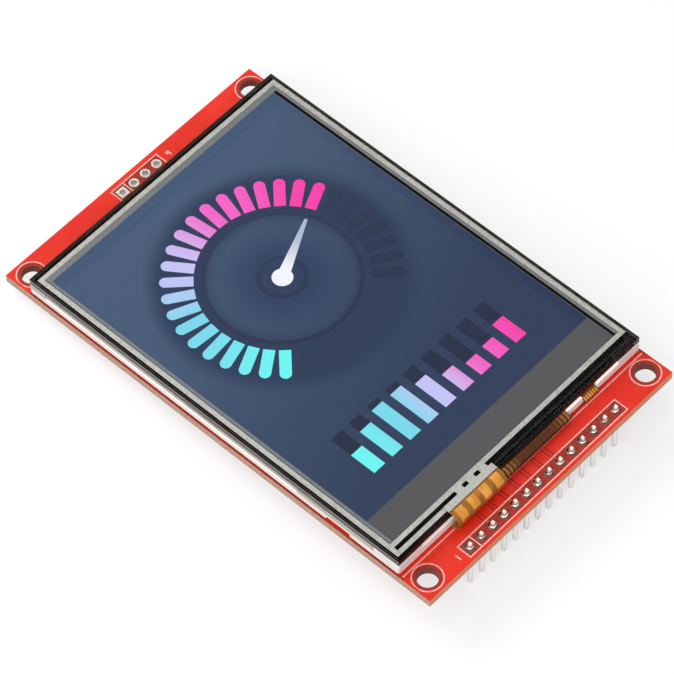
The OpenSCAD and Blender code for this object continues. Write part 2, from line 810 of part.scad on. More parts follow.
// Plated holes: a barrel through the board with a pad on each face
module plated_hole(square_pad) {
    difference() {
        union() {
            translate([0, 0, mask_t]) cylinder(d = drill_d + 2 * copper_t, h = board_t - 2 * mask_t);
            for (z = [mask_t, z_core_top]) translate([0, 0, z]) {
                if (square_pad) translate([-pad_d / 2, -pad_d / 2, 0]) cube([pad_d, pad_d, copper_t]);
                else cylinder(d = pad_d, h = copper_t);
            }
        }
        translate([0, 0, -1]) cylinder(d = drill_d, h = board_t + 2);
    }
}

module plated_row(count, y) {
    for (i = [0 : count - 1]) translate([row_x(i, count, pin_pitch), y, 0]) plated_hole(i == 0);
}

module header_pads() {
    color(tin) plated_row(pin_count, header_y);
}

module card_header_pads() {
    color(tin) plated_row(card_pin_count, card_header_y);
}

module display_pads() {
    color(gold) translate([0, 0, z_core_top]) linear_extrude(z_pad_top - z_core_top) display_pad_field(0);
}

module bottom_pads() {
    color(tin) linear_extrude(z_core_low) bottom_pad_field(0);
}

// ---------------------------------------------------------------- pin header

// One housing segment with its corners cut off
module housing_segment() {
    x = pin_pitch / 2;
    y = housing_w / 2;
    polygon([[-x, housing_cut - y], [housing_cut - x, -y], [x - housing_cut, -y], [x, housing_cut - y],
             [x, y - housing_cut], [x - housing_cut, y], [housing_cut - x, y], [-x, y - housing_cut]]);
}

module header_housing() {
    color(black_plastic) translate([0, header_y, -housing_h]) linear_extrude(housing_h) difference() {
        in_row(pin_count, pin_pitch) housing_segment();
        in_row(pin_count, pin_pitch) square(pin_w, center = true);
    }
}

// Square pin with both ends tapered on all four sides
module pin_profile(low, high) {
    tip = pin_w / 5;
    polygon([[-pin_w / 2, low + pin_taper], [-tip, low], [tip, low], [pin_w / 2, low + pin_taper],
             [pin_w / 2, high - pin_taper], [tip, high], [-tip, high], [-pin_w / 2, high - pin_taper]]);
}

module header_pin() {
    low = -housing_h - pin_reach;
    high = board_t + pin_tail;
    intersection() {
        rotate([90, 0, 0]) translate([0, 0, -pin_w / 2]) linear_extrude(pin_w) pin_profile(low, high);
        rotate([90, 0, 90]) translate([0, 0, -pin_w / 2]) linear_extrude(pin_w) pin_profile(low, high);
    }
}

module header_pins() {
    color(tin) at_pins() header_pin();
}

// Solder fills the hole and climbs the pin in a hollow curve
module header_solder() {
    foot_r = pad_d / 2 - pin_w / 12;
    neck_r = pin_w * 0.72;
    hollow_r = min(fillet_h * 0.94, foot_r + pin_w / 12 - pin_w * 0.5);
    color(tin) at_pins() difference() {
        union() {
            translate([0, 0, mask_t]) cylinder(d = drill_d, h = board_t - 2 * mask_t);
            translate([0, 0, board_t - mask_t]) rotate_extrude() difference() {
                patch([0, foot_r], [0, fillet_h]);
                translate([foot_r, fillet_h]) circle(r = hollow_r);
                patch([neck_r, foot_r + 1], [fillet_h * 0.9, fillet_h + 1]);
            }
        }
        translate([-pin_w / 2, -pin_w / 2, -1]) cube([pin_w, pin_w, board_t + fillet_h + 2]);
    }
}

// ---------------------------------------------------------------- card socket

// Folded steel shell: plate, side walls, spring fingers, thumb notch and soldered feet
module card_socket_shell() {
    half = socket_w / 2;
    color(tin) translate([0, socket_y, 0]) {
        difference() {
            span([tray_x[0], socket_x1], [-half, half], [socket_low, 0]);
            span([socket_x0, socket_x1 + 1], [-tray_w / 2, tray_w / 2], [socket_low + shell_t, 1]);
            translate([socket_x1 + thumb_out, 0, socket_low - 1]) cylinder(r = thumb_r, h = shell_t + 1);
            for (s = [-1, 1]) {
                finger_cut(s * finger_y);
                for (x = window_x0) mirror([0, max(-s, 0), 0]) wall_window(x);
            }
            for (i = [-1 : 1]) translate([channel_x0 + finger_w, i * 2 * finger_w, socket_low - 1])
                cylinder(d = finger_w / 2, h = shell_t + 1);
        }
        for (s = [0, 1], x = foot_x) mirror([0, s, 0])
            span([x, x + foot_l], [half, half + foot_reach], [-shell_t, 0]);
    }
}

// U-shaped slot that frees a spring finger in the shell's plate
module finger_cut(y) {
    x = socket_x0 + finger_start;
    side = finger_w / 2;
    difference() {
        span([x, x + finger_l], [y - side - finger_slot, y + side + finger_slot],
             [socket_low - 1, socket_low + shell_t]);
        span([x - 1, x + finger_l - finger_slot], [y - side, y + side], [socket_low - 2, socket_low + 1]);
    }
}

// Window in a side wall that snaps over a nub of the plastic base
module wall_window(x) {
    span([x, x + window_l], [tray_w / 2 - 1, socket_w], snap_z);
}

// Plastic base: floor with contact slots, side rails, rear wall, corner stop, nubs and pegs
module card_socket_base() {
    rail_low = socket_low + shell_t;
    nub_y = [tray_w / 2, socket_w / 2 - nub_gap];
    corner = (socket_w - channel_w) * 0.8;
    color(black_plastic) {
        translate([0, socket_y, 0]) difference() {
            span(tray_x, [-tray_w / 2, tray_w / 2], [rail_low, 0]);
            span([channel_x0, socket_x1], [-channel_w / 2, channel_w / 2], [rail_low - 1, -floor_t]);
            for (i = [0 : contact_count - 1]) contact_slot(row_x(i, contact_count, contact_pitch));
            span([channel_x0 + contact_l * 1.5, socket_x1 - thumb_out], [-card_w / 3, card_w / 3],
                 [-floor_t - 1, 1]);
        }
        translate([channel_x0, socket_y + channel_w / 2, rail_low]) linear_extrude(-floor_t - rail_low)
            polygon([[0, 0], [corner, 0], [0, -corner]]);
        for (s = [0, 1], x = window_x0) translate([0, socket_y, 0]) mirror([0, s, 0])
            span([x + nub_gap, x + window_l - nub_gap], nub_y, [snap_z[0] + nub_gap, snap_z[1] - nub_gap]);
        for (y = peg_y) translate([peg_x, y, 0]) cylinder(d = peg_d, h = peg_h);
    }
}

module contact_slot(y) {
    width = contact_w + 2 * slot_gap;
    span([socket_x0, channel_x0 + contact_l + nose_r], [y - width / 2, y + width / 2],
         [-floor_t - 2 * contact_t, 1]);
}

// One contact: soldered tail, flat run, rising beam and rounded nose
module contact_profile() {
    knee_x = channel_x0 + contact_l / 4;
    nose_x = channel_x0 + contact_l - 2 * nose_r;
    nose_z = -floor_t - contact_drop;
    patch([tray_x[0] - contact_tail, knee_x], [-contact_t, 0]);
    polygon([[knee_x, 0], [knee_x, -contact_t], [nose_x - nose_r, nose_z], [nose_x, nose_z + contact_t]]);
    translate([nose_x, nose_z + nose_r]) difference() {
        circle(nose_r);
        circle(nose_r - contact_t);
        patch([-2 * nose_r, 2 * nose_r], [0, 2 * nose_r]);
    }
}

module card_socket_contacts() {
    color(gold) for (i = [0 : contact_count - 1])
        translate([0, socket_y + row_x(i, contact_count, contact_pitch) + contact_w / 2, 0])
            rotate([90, 0, 0]) linear_extrude(contact_w) contact_profile();
}

// ---------------------------------------------------------------- chips on the underside

// Every solder pad of the underside, grown by the given amount
module bottom_pad_field(grow) {
    for (i = [0 : contact_count - 1])
        translate([tray_x[0] - contact_tail / 2, socket_y + row_x(i, contact_count, contact_pitch)])
            pad(contact_tail, contact_w, grow);
    for (s = [-1, 1], x = foot_x) translate([x + foot_l / 2, socket_y + s * (socket_w + foot_reach) / 2])
        pad(foot_l, foot_reach, grow);
    translate(tssop_at) for (s = [-1, 1], i = [0 : tssop_leads - 1])
        translate([s * (tssop_w / 2 + tssop_reach * 0.8), row_x(i, tssop_leads, tssop_pitch)])
            bare_pad(tssop_reach * 0.8, tssop_lead_w + tssop_reach / 10, grow);
    translate(empty_at) for (s = [-1, 1], i = [0 : 3])
        translate([s * empty_reach, row_x(i, 4, empty_pitch)]) bare_pad(empty_pitch, empty_pitch / 2, grow);
    for (at = sot_at, pin = sot_leads())
        translate([at[0] + pin[0], at[1] + pin[1] * (sot_w / 2 + sot_reach * 0.8)])
            bare_pad(sot_lead_w + 2 * pad_margin, sot_reach, grow);
    for (at = concat(resistor_at, capacitor_at), s = [-1, 1]) translate([at[0], at[1]]) rotate(at[2])
        translate([s * chip_part_l / 2, 0]) bare_pad(2 * chip_end, chip_part_w, grow);
}

module bare_pad(l, w, grow) {
    square([l + 2 * grow, w + 2 * grow], center = true);
}

module pad(l, w, grow) {
    bare_pad(l + 2 * pad_margin, w + 2 * pad_margin, grow);
}

// Lead places of a three-lead package: offset along its body and side
function sot_leads() = [[-sot_pitch, -1], [sot_pitch, -1], [0, 1]];

// Moulded body with drafted sides, hanging a stand-off under the board
module moulded_body(l, w, h) {
    intersection() {
        rotate([90, 0, 0]) translate([0, 0, -w / 2]) linear_extrude(w) body_profile(l, h);
        rotate([90, 0, 90]) translate([0, 0, -l / 2]) linear_extrude(l) body_profile(w, h);
    }
}

module body_profile(width, h) {
    draft = h / 10;
    x = width / 2;
    z = -h * 0.55;
    polygon([[draft - x, -h], [x - draft, -h], [x, z], [x - draft, -draft], [draft - x, -draft], [-x, z]]);
}

// Gull-wing lead in side view: foot on the pad, rising to the body's middle
module gull_wing(body_edge, body_h, reach) {
    middle = -body_h * 0.55;
    t = lead_t;
    polygon([[body_edge, middle - t / 2], [body_edge + reach * 0.4, middle - t / 2],
             [body_edge + reach * 0.6, -t], [body_edge + reach, -t], [body_edge + reach, 0],
             [body_edge + reach * 0.6 - t * 0.6, 0], [body_edge + reach * 0.4 - t * 0.6, middle + t / 2],
             [body_edge, middle + t / 2]]);
}

module lead(body_edge, body_h, reach, width) {
    translate([0, width / 2, 0]) rotate([90, 0, 0]) linear_extrude(width)
        gull_wing(body_edge, body_h, reach);
}

module touch_controller() {
    color(black_plastic) translate(tssop_at) difference() {
        rotate(90) moulded_body(tssop_l, tssop_w, tssop_h);
        translate([-tssop_w / 3, tssop_l / 3, -tssop_h - 1])
            cylinder(d = tssop_pitch, h = 1 + tssop_h / 15);
    }
}

module touch_controller_leads() {
    color(tin) translate(tssop_at) for (s = [0, 180], i = [0 : tssop_leads - 1])
        rotate(s) translate([0, row_x(i, tssop_leads, tssop_pitch), 0])
            lead(tssop_w / 2, tssop_h, tssop_reach, tssop_lead_w);
}

module regulator_and_transistor() {
    color(black_plastic) for (at = sot_at) translate(at) moulded_body(sot_l, sot_w, sot_h);
}

module regulator_and_transistor_leads() {
    color(tin) for (at = sot_at, pin = sot_leads()) translate([at[0] + pin[0], at[1], 0])
        rotate(90 * pin[1]) lead(sot_w / 2, sot_h, sot_reach, sot_lead_w);
}

module at_chip_parts(places) {
    for (at = places) translate([at[0], at[1], 0]) rotate(at[2]) children();
}

module resistor_bodies() {
    color([0.16, 0.16, 0.18]) at_chip_parts(resistor_at)
        span([-chip_part_l / 2 + chip_end, chip_part_l / 2 - chip_end], [-chip_part_w / 2, chip_part_w / 2],
             [-resistor_h, -chip_swell]);
}

module capacitor_bodies() {
    color([0.72, 0.60, 0.46]) at_chip_parts(capacitor_at)
        span([-chip_part_l / 2 + chip_end, chip_part_l / 2 - chip_end], [-chip_part_w / 2, chip_part_w / 2],
             [-capacitor_h, -chip_swell]);
}

// Metal caps on both ends of a chip part, a little fuller than its body
module chip_ends(h) {
    side = chip_part_w / 2 + chip_swell;
    for (s = [0, 180]) rotate(s)
        span([chip_part_l / 2 - chip_end, chip_part_l / 2], [-side, side], [-h - chip_swell, 0]);
}

module resistor_and_capacitor_ends() {
    color(tin) {
        at_chip_parts(resistor_at) chip_ends(resistor_h);
        at_chip_parts(capacitor_at) chip_ends(capacitor_h);
    }
}

// ---------------------------------------------------------------- display frame and backlight

// Foam strips under the frame, clear of the folded flexes
module mounting_tape() {
    x = [lcm_x - tape_inset - tape_w, lcm_x - tape_inset];
    far_y = lcm_y1 - tape_inset;
    color([0.85, 0.83, 0.80]) {
        for (s = [0, 1]) mirror([s, 0, 0]) span(x, [lcm_y0 + tape_inset, far_y], [board_t, z_frame]);
        sheet(tape_w, [flex_pad_y[1] + tape_inset, far_y], [board_t, z_frame]);
    }
}

// Notches in a long wall: [middle along the wall, length]
function wall_notches() = [[lcm_y0 + near_notch_y, near_notch_l], [lcm_y0 + middle_notch_y, middle_notch_l],
                           [lcm_y1 - far_notch_y, far_notch_l]];

// White moulded frame: stepped and notched long walls, a low rim between two tall end blocks
module backlight_frame() {
    foot_y = lcm_y0 + foot_notch_y;
    tail_slot_x = light_tail_w / 2 + 2 * seat_gap;
    color(frame_white) difference() {
        translate([0, 0, z_frame]) linear_extrude(z_wall - z_frame)
            round_patch([-lcm_x, lcm_x], [lcm_y0, lcm_y1], frame_r);
        sheet(opening_x, opening_y, [z_frame - 1, z_wall + 1]);
        sheet(pocket_x, pocket_y, [z_ledge, z_wall + 1]);
        sheet(rim_x, [lcm_y0 - 1, pocket_y[0] + 1], [z_frame + rim_h, z_wall + 1]);
        span([light_tail_x - tail_slot_x, light_tail_x + tail_slot_x], [lcm_y0 - 1, pocket_y[0] + 1],
             [z_led_flex - seat_gap / 2, z_wall]);
        for (s = [0, 1]) mirror([s, 0, 0]) {
            span([lcm_x - skirt_step, lcm_x + 1], [lcm_y0 + step_start, lcm_y1 - step_end],
                 [z_frame + skirt_h, z_wall + 1]);
            span([lcm_x - notch_d, lcm_x + 1], [foot_y - foot_notch_l / 2, foot_y + foot_notch_l / 2],
                 [z_frame - 1, z_frame + foot_notch_h]);
            for (n = wall_notches())
                span([lcm_x - notch_d, lcm_x + 1], [n[0] - n[1] / 2, n[0] + n[1] / 2],
                     [z_frame + rim_h, z_wall + 1]);
        }
        for (x = [-lcm_x * 0.44, lcm_x * 0.44])
            span([x - far_notch_l / 2, x + far_notch_l / 2], [lcm_y1 - notch_d, lcm_y1 + 1],
                 [z_frame + rim_h, z_wall + 1]);
    }
}

module back_reflector() {
    color([0.90, 0.91, 0.92]) sheet(guide_x, [opening_y[0] + seat_gap, guide_y[1]], [z_frame, z_guide]);
}

module light_guide() {
    color([0.92, 0.96, 0.98, 0.6]) sheet(guide_x, guide_y, [z_guide, z_sheets]);
}

module backlight_leds() {
    pitch = 2 * guide_x / led_count;
    color([0.98, 0.93, 0.65]) in_row(led_count, pitch)
        span([-led_l / 2, led_l / 2], [led_y0, led_y0 + led_d], [z_guide, z_led_flex]);
}

// Lamp strip over the lamps, with a tail that leaves through the rim and rolls under the frame
module backlight_flex() {
    color(amber) {
        sheet(guide_x, [opening_y[0] + seat_gap, led_y0 + led_d], [z_led_flex, z_led_flex + flex_t]);
        rolled_strip([light_tail_x - light_tail_w / 2, light_tail_x + light_tail_w / 2], led_y0, wing_y[1],
                     z_led_flex + flex_t / 2, z_tail_low, -flex_t / 2, flex_t / 2);
    }
}

module backlight_flex_traces() {
    color(gold) for (i = [0 : light_traces - 1]) {
        x = light_tail_x + row_x(i, light_traces, light_trace_pitch);
        rolled_strip([x - light_trace_pitch * 0.3, x + light_trace_pitch * 0.3], roll_y + rim_t / 2,
                     wing_y[1] - flex_margin,
                     z_led_flex + flex_t / 2, z_tail_low, flex_t / 2, flex_t / 2 + trace_t);
    }
}

module diffuser_sheet() {
    color([0.96, 0.96, 0.96]) sheet(guide_x, sheet_y, [z_sheets, z_sheets + sheet_t]);
}

module prism_sheet_lower() {
    color([0.90, 0.92, 0.94]) sheet(guide_x, sheet_y, [z_sheets + sheet_t, z_sheets + 2 * sheet_t]);
}

module prism_sheet_upper() {
    color([0.92, 0.93, 0.95]) sheet(guide_x, sheet_y, [z_sheets + 2 * sheet_t, z_ledge]);
}

module rim_tape() {
    color(black_plastic) translate([0, 0, z_ledge]) linear_extrude(rim_tape_t)
        border([-glass_x, glass_x], glass_y, [-window_x, window_x], window_y);
}

// ---------------------------------------------------------------- liquid-crystal cell

module rear_polariser() {
    color([0.25, 0.25, 0.28])
        sheet(polariser_x, [filter_y0, glass_y[1] - 6 * seat_gap], [z_rear_pol, z_array]);
}

module array_glass() {
    color([0.70, 0.78, 0.76]) sheet(glass_x, glass_y, [z_array, z_crystal]);
}

module driver_chip() {
    y = filter_y0 - chip_gap - chip_w;
    color([0.20, 0.20, 0.24])
        span([flex_x - chip_l / 2, flex_x + chip_l / 2], [y, y + chip_w], [z_crystal, z_crystal + chip_t]);
}

// Black tape that bridges the ledge from the driver chip to the rim
module ledge_tape() {
    z = z_crystal + max(chip_t, trace_t * 2 + flex_t);
    color(black_plastic)
        sheet(glass_x - ledge_w / 2, [glass_y[0] + seat_gap, filter_y0 - seat_gap], [z, z + ledge_tape_t]);
}

// Flex bonded to the ledge, rolled over the rim and spread into a wing under the frame
module display_flex() {
    wing_x = [tail_x[0] - flex_margin, light_tail_x + light_tail_w / 2 + flex_margin];
    color(brown_flex) {
        rolled_strip([flex_x - flex_w / 2, flex_x + flex_w / 2], glass_y[0] + bond_l, flex_pad_y[1],
                     z_flex_high, z_flex_low, -flex_t / 2, flex_t / 2);
        span(wing_x, wing_y, [z_flex_low - flex_t / 2, z_flex_low + flex_t / 2]);
    }
}

module display_flex_traces() {
    color([0.55, 0.36, 0.14]) for (i = [0 : flex_count - 1]) {
        x = flex_x + row_x(i, flex_count, flex_pitch);
        rolled_strip([x - flex_trace_w / 2, x + flex_trace_w / 2], roll_y + rim_t,
                     flex_pad_y[1] - flex_margin, z_flex_high, z_flex_low,
                     flex_t / 2, flex_t / 2 + trace_t);
    }
}

// Thin solder between the board's pads and the flex, and between the flex and both tails
module flex_solder() {
    tail_joint_y = [wing_y[0] + 2 * flex_margin, wing_y[1] - 2 * flex_margin];
    color(tin) {
        translate([0, 0, z_pad_top]) linear_extrude(solder_t) translate([flex_x, 0])
            in_row(flex_count, flex_pitch)
                patch([-flex_trace_w / 2, flex_trace_w / 2], [flex_pad_y[0], flex_pad_y[1] - flex_margin]);
        for (i = [0 : touch_count - 1]) {
            x = touch_x + row_x(i, touch_count, touch_pitch);
            span([x - touch_trace_w / 2, x + touch_trace_w / 2], tail_joint_y,
                 [z_wing_top, z_wing_top + solder_t]);
        }
        span([light_tail_x - light_tail_w / 3, light_tail_x + light_tail_w / 3], tail_joint_y,
             [z_wing_top, z_wing_top + solder_t]);
    }
}

module filter_glass() {
    color(clear_glass) sheet(glass_x, [filter_y0, glass_y[1]], [z_filter, z_front_pol]);
}

module front_polariser() {
    color([0.50, 0.52, 0.56, 0.15])
        sheet(polariser_x, [filter_y0 + 3 * seat_gap, glass_y[1] - 6 * seat_gap], [z_front_pol, z_wall]);
}

// ---------------------------------------------------------------- picture shown by the cell

module in_crystal() {
    translate([0, 0, z_crystal]) linear_extrude(crystal_t) children();
}

// Grey field round the picture, widest at the pin end
module cell_border() {
    color([0.37, 0.37, 0.38]) in_crystal()
        border([-glass_x, glass_x], [filter_y0, glass_y[1]], [-picture_x, picture_x], picture_y);
}

// Angle of a dial bar: the first stands at the lower left, and they run clockwise
function bar_angle(i) = 90 + dial_sweep / 2 - i * dial_sweep / (dial_bars - 1);

module dial_bar(i) {
    translate([0, dial_y]) rotate(bar_angle(i)) translate([dial_inner_r, 0]) {
        translate([0, -dial_bar_w / 2]) square([dial_bar_l, dial_bar_w]);
        translate([dial_bar_l, 0]) circle(d = dial_bar_w);
    }
}

module dial_bars_between(from, to) {
    for (i = [from : to]) dial_bar(i);
}

// Share of its full height that a column reaches
function column_level(i) = 0.35 + 0.55 * pow(sin(35 + i * 205 / column_count), 2);

module column(i, from, to) {
    x = row_x(i, column_count, column_pitch) - column_w / 2;
    patch([x, x + column_w], [column_base + from * column_h, column_base + to * column_h]);
}

// Lit part of every column of one third of the row
module lit_columns(third) {
    n = column_count / 3;
    for (i = [third * n : (third + 1) * n - 1]) column(i, 0, column_level(i));
}

module needle_shape() {
    tip_x = dial_inner_r - 3 * ring_w;
    translate([0, dial_y]) {
        circle(hub_r);
        rotate(bar_angle(lit_bars - 1))
            polygon([[0, -hub_r * 0.6], [tip_x, -hub_r * 0.15], [tip_x, hub_r * 0.15], [0, hub_r * 0.6]]);
    }
}

// Rings inside the bars, left open where the needle crosses
module dial_rings() {
    translate([0, dial_y]) for (r = [dial_inner_r - 1.5 * ring_w, hub_r * 2.4]) difference() {
        circle(r);
        circle(r - ring_w);
    }
}

module unlit_shapes() {
    dial_bars_between(lit_bars, dial_bars - 1);
    difference() {
        dial_rings();
        needle_shape();
    }
    for (i = [0 : column_count - 1]) column(i, column_level(i), 1);
}

module cyan_shapes() {
    dial_bars_between(0, floor(lit_bars / 3) - 1);
    lit_columns(0);
}

module lilac_shapes() {
    dial_bars_between(floor(lit_bars / 3), floor(lit_bars * 2 / 3) - 1);
    lit_columns(1);
}

module magenta_shapes() {
    dial_bars_between(floor(lit_bars * 2 / 3), lit_bars - 1);
    lit_columns(2);
}

module picture_field() {
    color(picture_navy) in_crystal() difference() {
        patch([-picture_x, picture_x], picture_y);
        unlit_shapes();
        cyan_shapes();
        lilac_shapes();
        magenta_shapes();
        needle_shape();
    }
}

module picture_unlit() {
    color([0.20, 0.24, 0.35]) in_crystal() unlit_shapes();
}

module picture_cyan() {
    color([0.39, 0.88, 0.88]) in_crystal() cyan_shapes();
}

module picture_lilac() {
    color([0.74, 0.72, 0.94]) in_crystal() lilac_shapes();
}

module picture_magenta() {
    color([0.92, 0.27, 0.66]) in_crystal() magenta_shapes();
}

module picture_needle() {
    color([0.88, 0.90, 0.93]) in_crystal() needle_shape();
}

// ---------------------------------------------------------------- touch panel

module touch_gasket() {
    inner_x = touch_x_half - gasket_w;
    color(black_plastic) translate([0, 0, z_wall]) linear_extrude(gasket_t) difference() {
        patch([-touch_x_half, touch_x_half], touch_y);
        patch([-inner_x, inner_x], [gasket_end_y, touch_y[1] - gasket_w]);
        patch([-rim_x, rim_x], [touch_y[0] - 1, pocket_y[0] + ledge_w]);
    }
}

module touch_glass() {
    color(clear_glass) sheet(touch_x_half, touch_y, [z_touch, z_silver_low]);
}

// Silver loop, with a second line from the near corner to the tail's pads
module silver_lines() {
    inner_y = silver_y[0] + silver_w;
    border([-silver_x, silver_x], silver_y, [-silver_x + silver_w, silver_x - silver_w],
           [inner_y, silver_y[1] - silver_w]);
    patch([-silver_x, tail_x[1]], tail_silver_y);
    patch([-silver_x, -silver_x + silver_w], [tail_silver_y[0], inner_y]);
    patch(tail_x, tail_pad_y);
    for (i = [1 : touch_count - 1]) {
        x = touch_x + row_x(i, touch_count, touch_pitch);
        patch([x - touch_trace_w / 2, x + touch_trace_w / 2], [tail_silver_y[0], inner_y]);
    }
}

module touch_silver_lower() {
    color(silver_ink) translate([0, 0, z_silver_low]) linear_extrude(silver_t) silver_lines();
}

// Lines of the film along three sides, and the silver block that holds the tail from above
module touch_silver_upper() {
    line_gap = 2 * seat_gap;
    outer_x = silver_x - silver_w - line_gap;
    outer_y = [silver_y[0] + silver_w + line_gap, silver_y[1] - silver_w - line_gap];
    color([0.58, 0.57, 0.53]) translate([0, 0, z_silver_high]) linear_extrude(silver_t) {
        border([-outer_x, outer_x], outer_y, [-outer_x + inner_line_w, outer_x - inner_line_w],
               [outer_y[0] - inner_line_w, outer_y[1] - inner_far_w]);
        patch(tail_x, tail_pad_y);
    }
}

// Clear adhesive ring that holds the film off the glass, open where the tail enters
module touch_spacer() {
    inner_x = silver_x - silver_w - inner_line_w;
    inner_y = [silver_y[0] + silver_w + inner_line_w, silver_y[1] - silver_w - inner_far_w];
    color([0.80, 0.82, 0.80, 0.2]) translate([0, 0, z_tail]) linear_extrude(flex_t) difference() {
        patch([-film_x, film_x], film_y);
        patch([-inner_x, inner_x], inner_y);
        patch([tail_x[0] - seat_gap, tail_x[1] + seat_gap], [film_y[0] - seat_gap, tail_silver_y[1]]);
    }
}

module touch_film() {
    color(clear_glass) sheet(film_x, film_y, [z_film, z_front]);
}

// Tail that leaves between glass and film and rolls down past the rim to the flex's wing
module touch_flex() {
    color(amber) rolled_strip(tail_x, tail_silver_y[0], wing_y[1], z_tail_high, z_tail_low,
                              -flex_t / 2, flex_t / 2);
}

module touch_flex_traces() {
    color(gold) for (i = [0 : touch_count - 1]) {
        x = touch_x + row_x(i, touch_count, touch_pitch);
        rolled_strip([x - touch_trace_w / 2, x + touch_trace_w / 2], touch_y[0] - seat_gap,
                     wing_y[1] - flex_margin,
                     z_tail_high, z_tail_low, flex_t / 2, flex_t / 2 + trace_t);
    }
}

// ---------------------------------------------------------------- nodes

circuit_board();
copper_top();
copper_bottom();
solder_mask_top();
solder_mask_bottom();
silkscreen_top();
silkscreen_bottom();
header_pads();
card_header_pads();
display_pads();
bottom_pads();
header_housing();
header_pins();
header_solder();
card_socket_base();
card_socket_shell();
card_socket_contacts();
touch_controller();
touch_controller_leads();
regulator_and_transistor();
regulator_and_transistor_leads();
resistor_bodies();
capacitor_bodies();
resistor_and_capacitor_ends();
mounting_tape();
backlight_frame();
back_reflector();
light_guide();
backlight_leds();
backlight_flex();
backlight_flex_traces();
diffuser_sheet();
prism_sheet_lower();
prism_sheet_upper();
rim_tape();
rear_polariser();
array_glass();
driver_chip();
ledge_tape();
display_flex();
display_flex_traces();
flex_solder();
cell_border();
picture_field();
picture_unlit();
picture_cyan();
picture_lilac();
picture_magenta();
picture_needle();
filter_glass();
front_polariser();
touch_gasket();
touch_glass();
touch_silver_lower();
touch_silver_upper();
touch_spacer();
touch_film();
touch_flex();
touch_flex_traces();
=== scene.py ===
# %% [markdown]
# # A touch display module, dressed for its picture
# The module is a red carrier board with a liquid-crystal display taped on top of it. A touch panel
# covers the display, amber and brown flexes roll over its rim, and a pin header and a card socket
# hang from the underside. The solids come from the CAD model and keep their places. This lesson
# gives each of them its finish, and remakes the few pieces whose real edges or bends need more.

# %% Load the frame
import math
import bmesh
import bpy
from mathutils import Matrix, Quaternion, Vector


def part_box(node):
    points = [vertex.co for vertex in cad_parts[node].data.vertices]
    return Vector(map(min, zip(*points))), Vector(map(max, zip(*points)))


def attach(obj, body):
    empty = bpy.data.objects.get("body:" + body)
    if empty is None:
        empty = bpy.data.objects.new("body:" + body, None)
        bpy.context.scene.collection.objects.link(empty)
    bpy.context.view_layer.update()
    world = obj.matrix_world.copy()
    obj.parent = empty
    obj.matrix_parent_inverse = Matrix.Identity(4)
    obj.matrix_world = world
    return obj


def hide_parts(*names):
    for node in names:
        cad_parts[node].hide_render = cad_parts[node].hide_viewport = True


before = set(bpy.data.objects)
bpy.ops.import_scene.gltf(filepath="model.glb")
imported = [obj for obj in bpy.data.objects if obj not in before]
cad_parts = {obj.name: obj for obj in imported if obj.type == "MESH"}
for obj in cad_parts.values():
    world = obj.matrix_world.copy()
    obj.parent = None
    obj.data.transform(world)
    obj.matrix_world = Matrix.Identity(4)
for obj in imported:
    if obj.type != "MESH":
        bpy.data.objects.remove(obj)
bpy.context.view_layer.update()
MM = 0.001

# %% [markdown]
# ## The camera
# A long lens from far away keeps the board's edges almost parallel, as in a catalogue picture. The
# camera stands to the left of the pin header and looks down on the glass. It is turned a little
# about its own axis, so the place, the aim and that turn are all it needs.

# %% Camera
camera_at = Vector((-271.35, -276.65, 546.80)) * MM
aim_at = Vector((-1.76, -1.96, 1.60)) * MM
turn = math.radians(-3.14)
lens = bpy.data.cameras.new("camera")
lens.lens = 231.7
lens.sensor_width = 36
lens.clip_start = 0.01
lens.clip_end = 20
camera = bpy.data.objects.new("camera", lens)
bpy.context.scene.collection.objects.link(camera)
camera.location = camera_at
camera.rotation_mode = "QUATERNION"
aim = (aim_at - camera_at).to_track_quat("-Z", "Y")
camera.rotation_quaternion = aim @ Quaternion((0, 0, 1), turn)
bpy.context.scene.camera = camera
bpy.context.scene.view_settings.view_transform = "Standard"
print("camera distance in mm:", round((aim_at - camera_at).length / MM))

# %% [markdown]
# ## Small tools for materials
# A finish is a few shader nodes joined together. Written out one by one they fill pages, so small
# helpers do the joining. One turns a colour from the usual 0 to 255 scale into the linear values
# that a shader wants, one adds a node and fills its sockets, and one starts a new material. The
# others make noise, mix colours by it, bump a surface, do sums and give a finish to CAD nodes.

# %% Node helpers
def linear(red, green, blue):
    """A colour on the 0 to 255 scale as the linear values of a shader socket."""
    def one(value):
        value = value / 255
        return value / 12.92 if value <= 0.04045 else ((value + 0.055) / 1.055) ** 2.4
    return (one(red), one(green), one(blue), 1.0)


def add(tree, kind, inputs=None, **settings):
    """A new node with its settings and inputs; an input may be a value or another node's socket."""
    node = tree.nodes.new(kind)
    for key, value in settings.items():
        setattr(node, key, value)
    for key, value in (inputs or {}).items():
        socket = node.inputs[key]
        if isinstance(value, bpy.types.NodeSocket):
            tree.links.new(value, socket)
        else:
            socket.default_value = value
    return node


def new_material(name, **values):
    """A material with a Principled shader whose plain sockets are set by name."""
    material = bpy.data.materials.new(name)
    material.use_nodes = True
    shader = material.node_tree.nodes["Principled BSDF"]
    for key, value in values.items():
        shader.inputs[key.replace("_", " ")].default_value = value
    return material, material.node_tree, shader


def places(tree, scale=(1, 1, 1), shift=(0, 0, 0)):
    """Object coordinates, stretched by scale: a pattern on them stays put on the piece."""
    here = add(tree, "ShaderNodeTexCoord").outputs["Object"]
    return add(tree, "ShaderNodeMapping", {"Vector": here, "Scale": scale, "Location": shift}).outputs[0]


def noise(tree, size_mm, detail=3.0, stretch=(1, 1, 1)):
    """Smooth noise with patches of about size_mm."""
    where = places(tree, scale=tuple(s / (size_mm * MM) for s in stretch))
    return add(tree, "ShaderNodeTexNoise", {"Vector": where, "Scale": 1.0, "Detail": detail}).outputs[0]


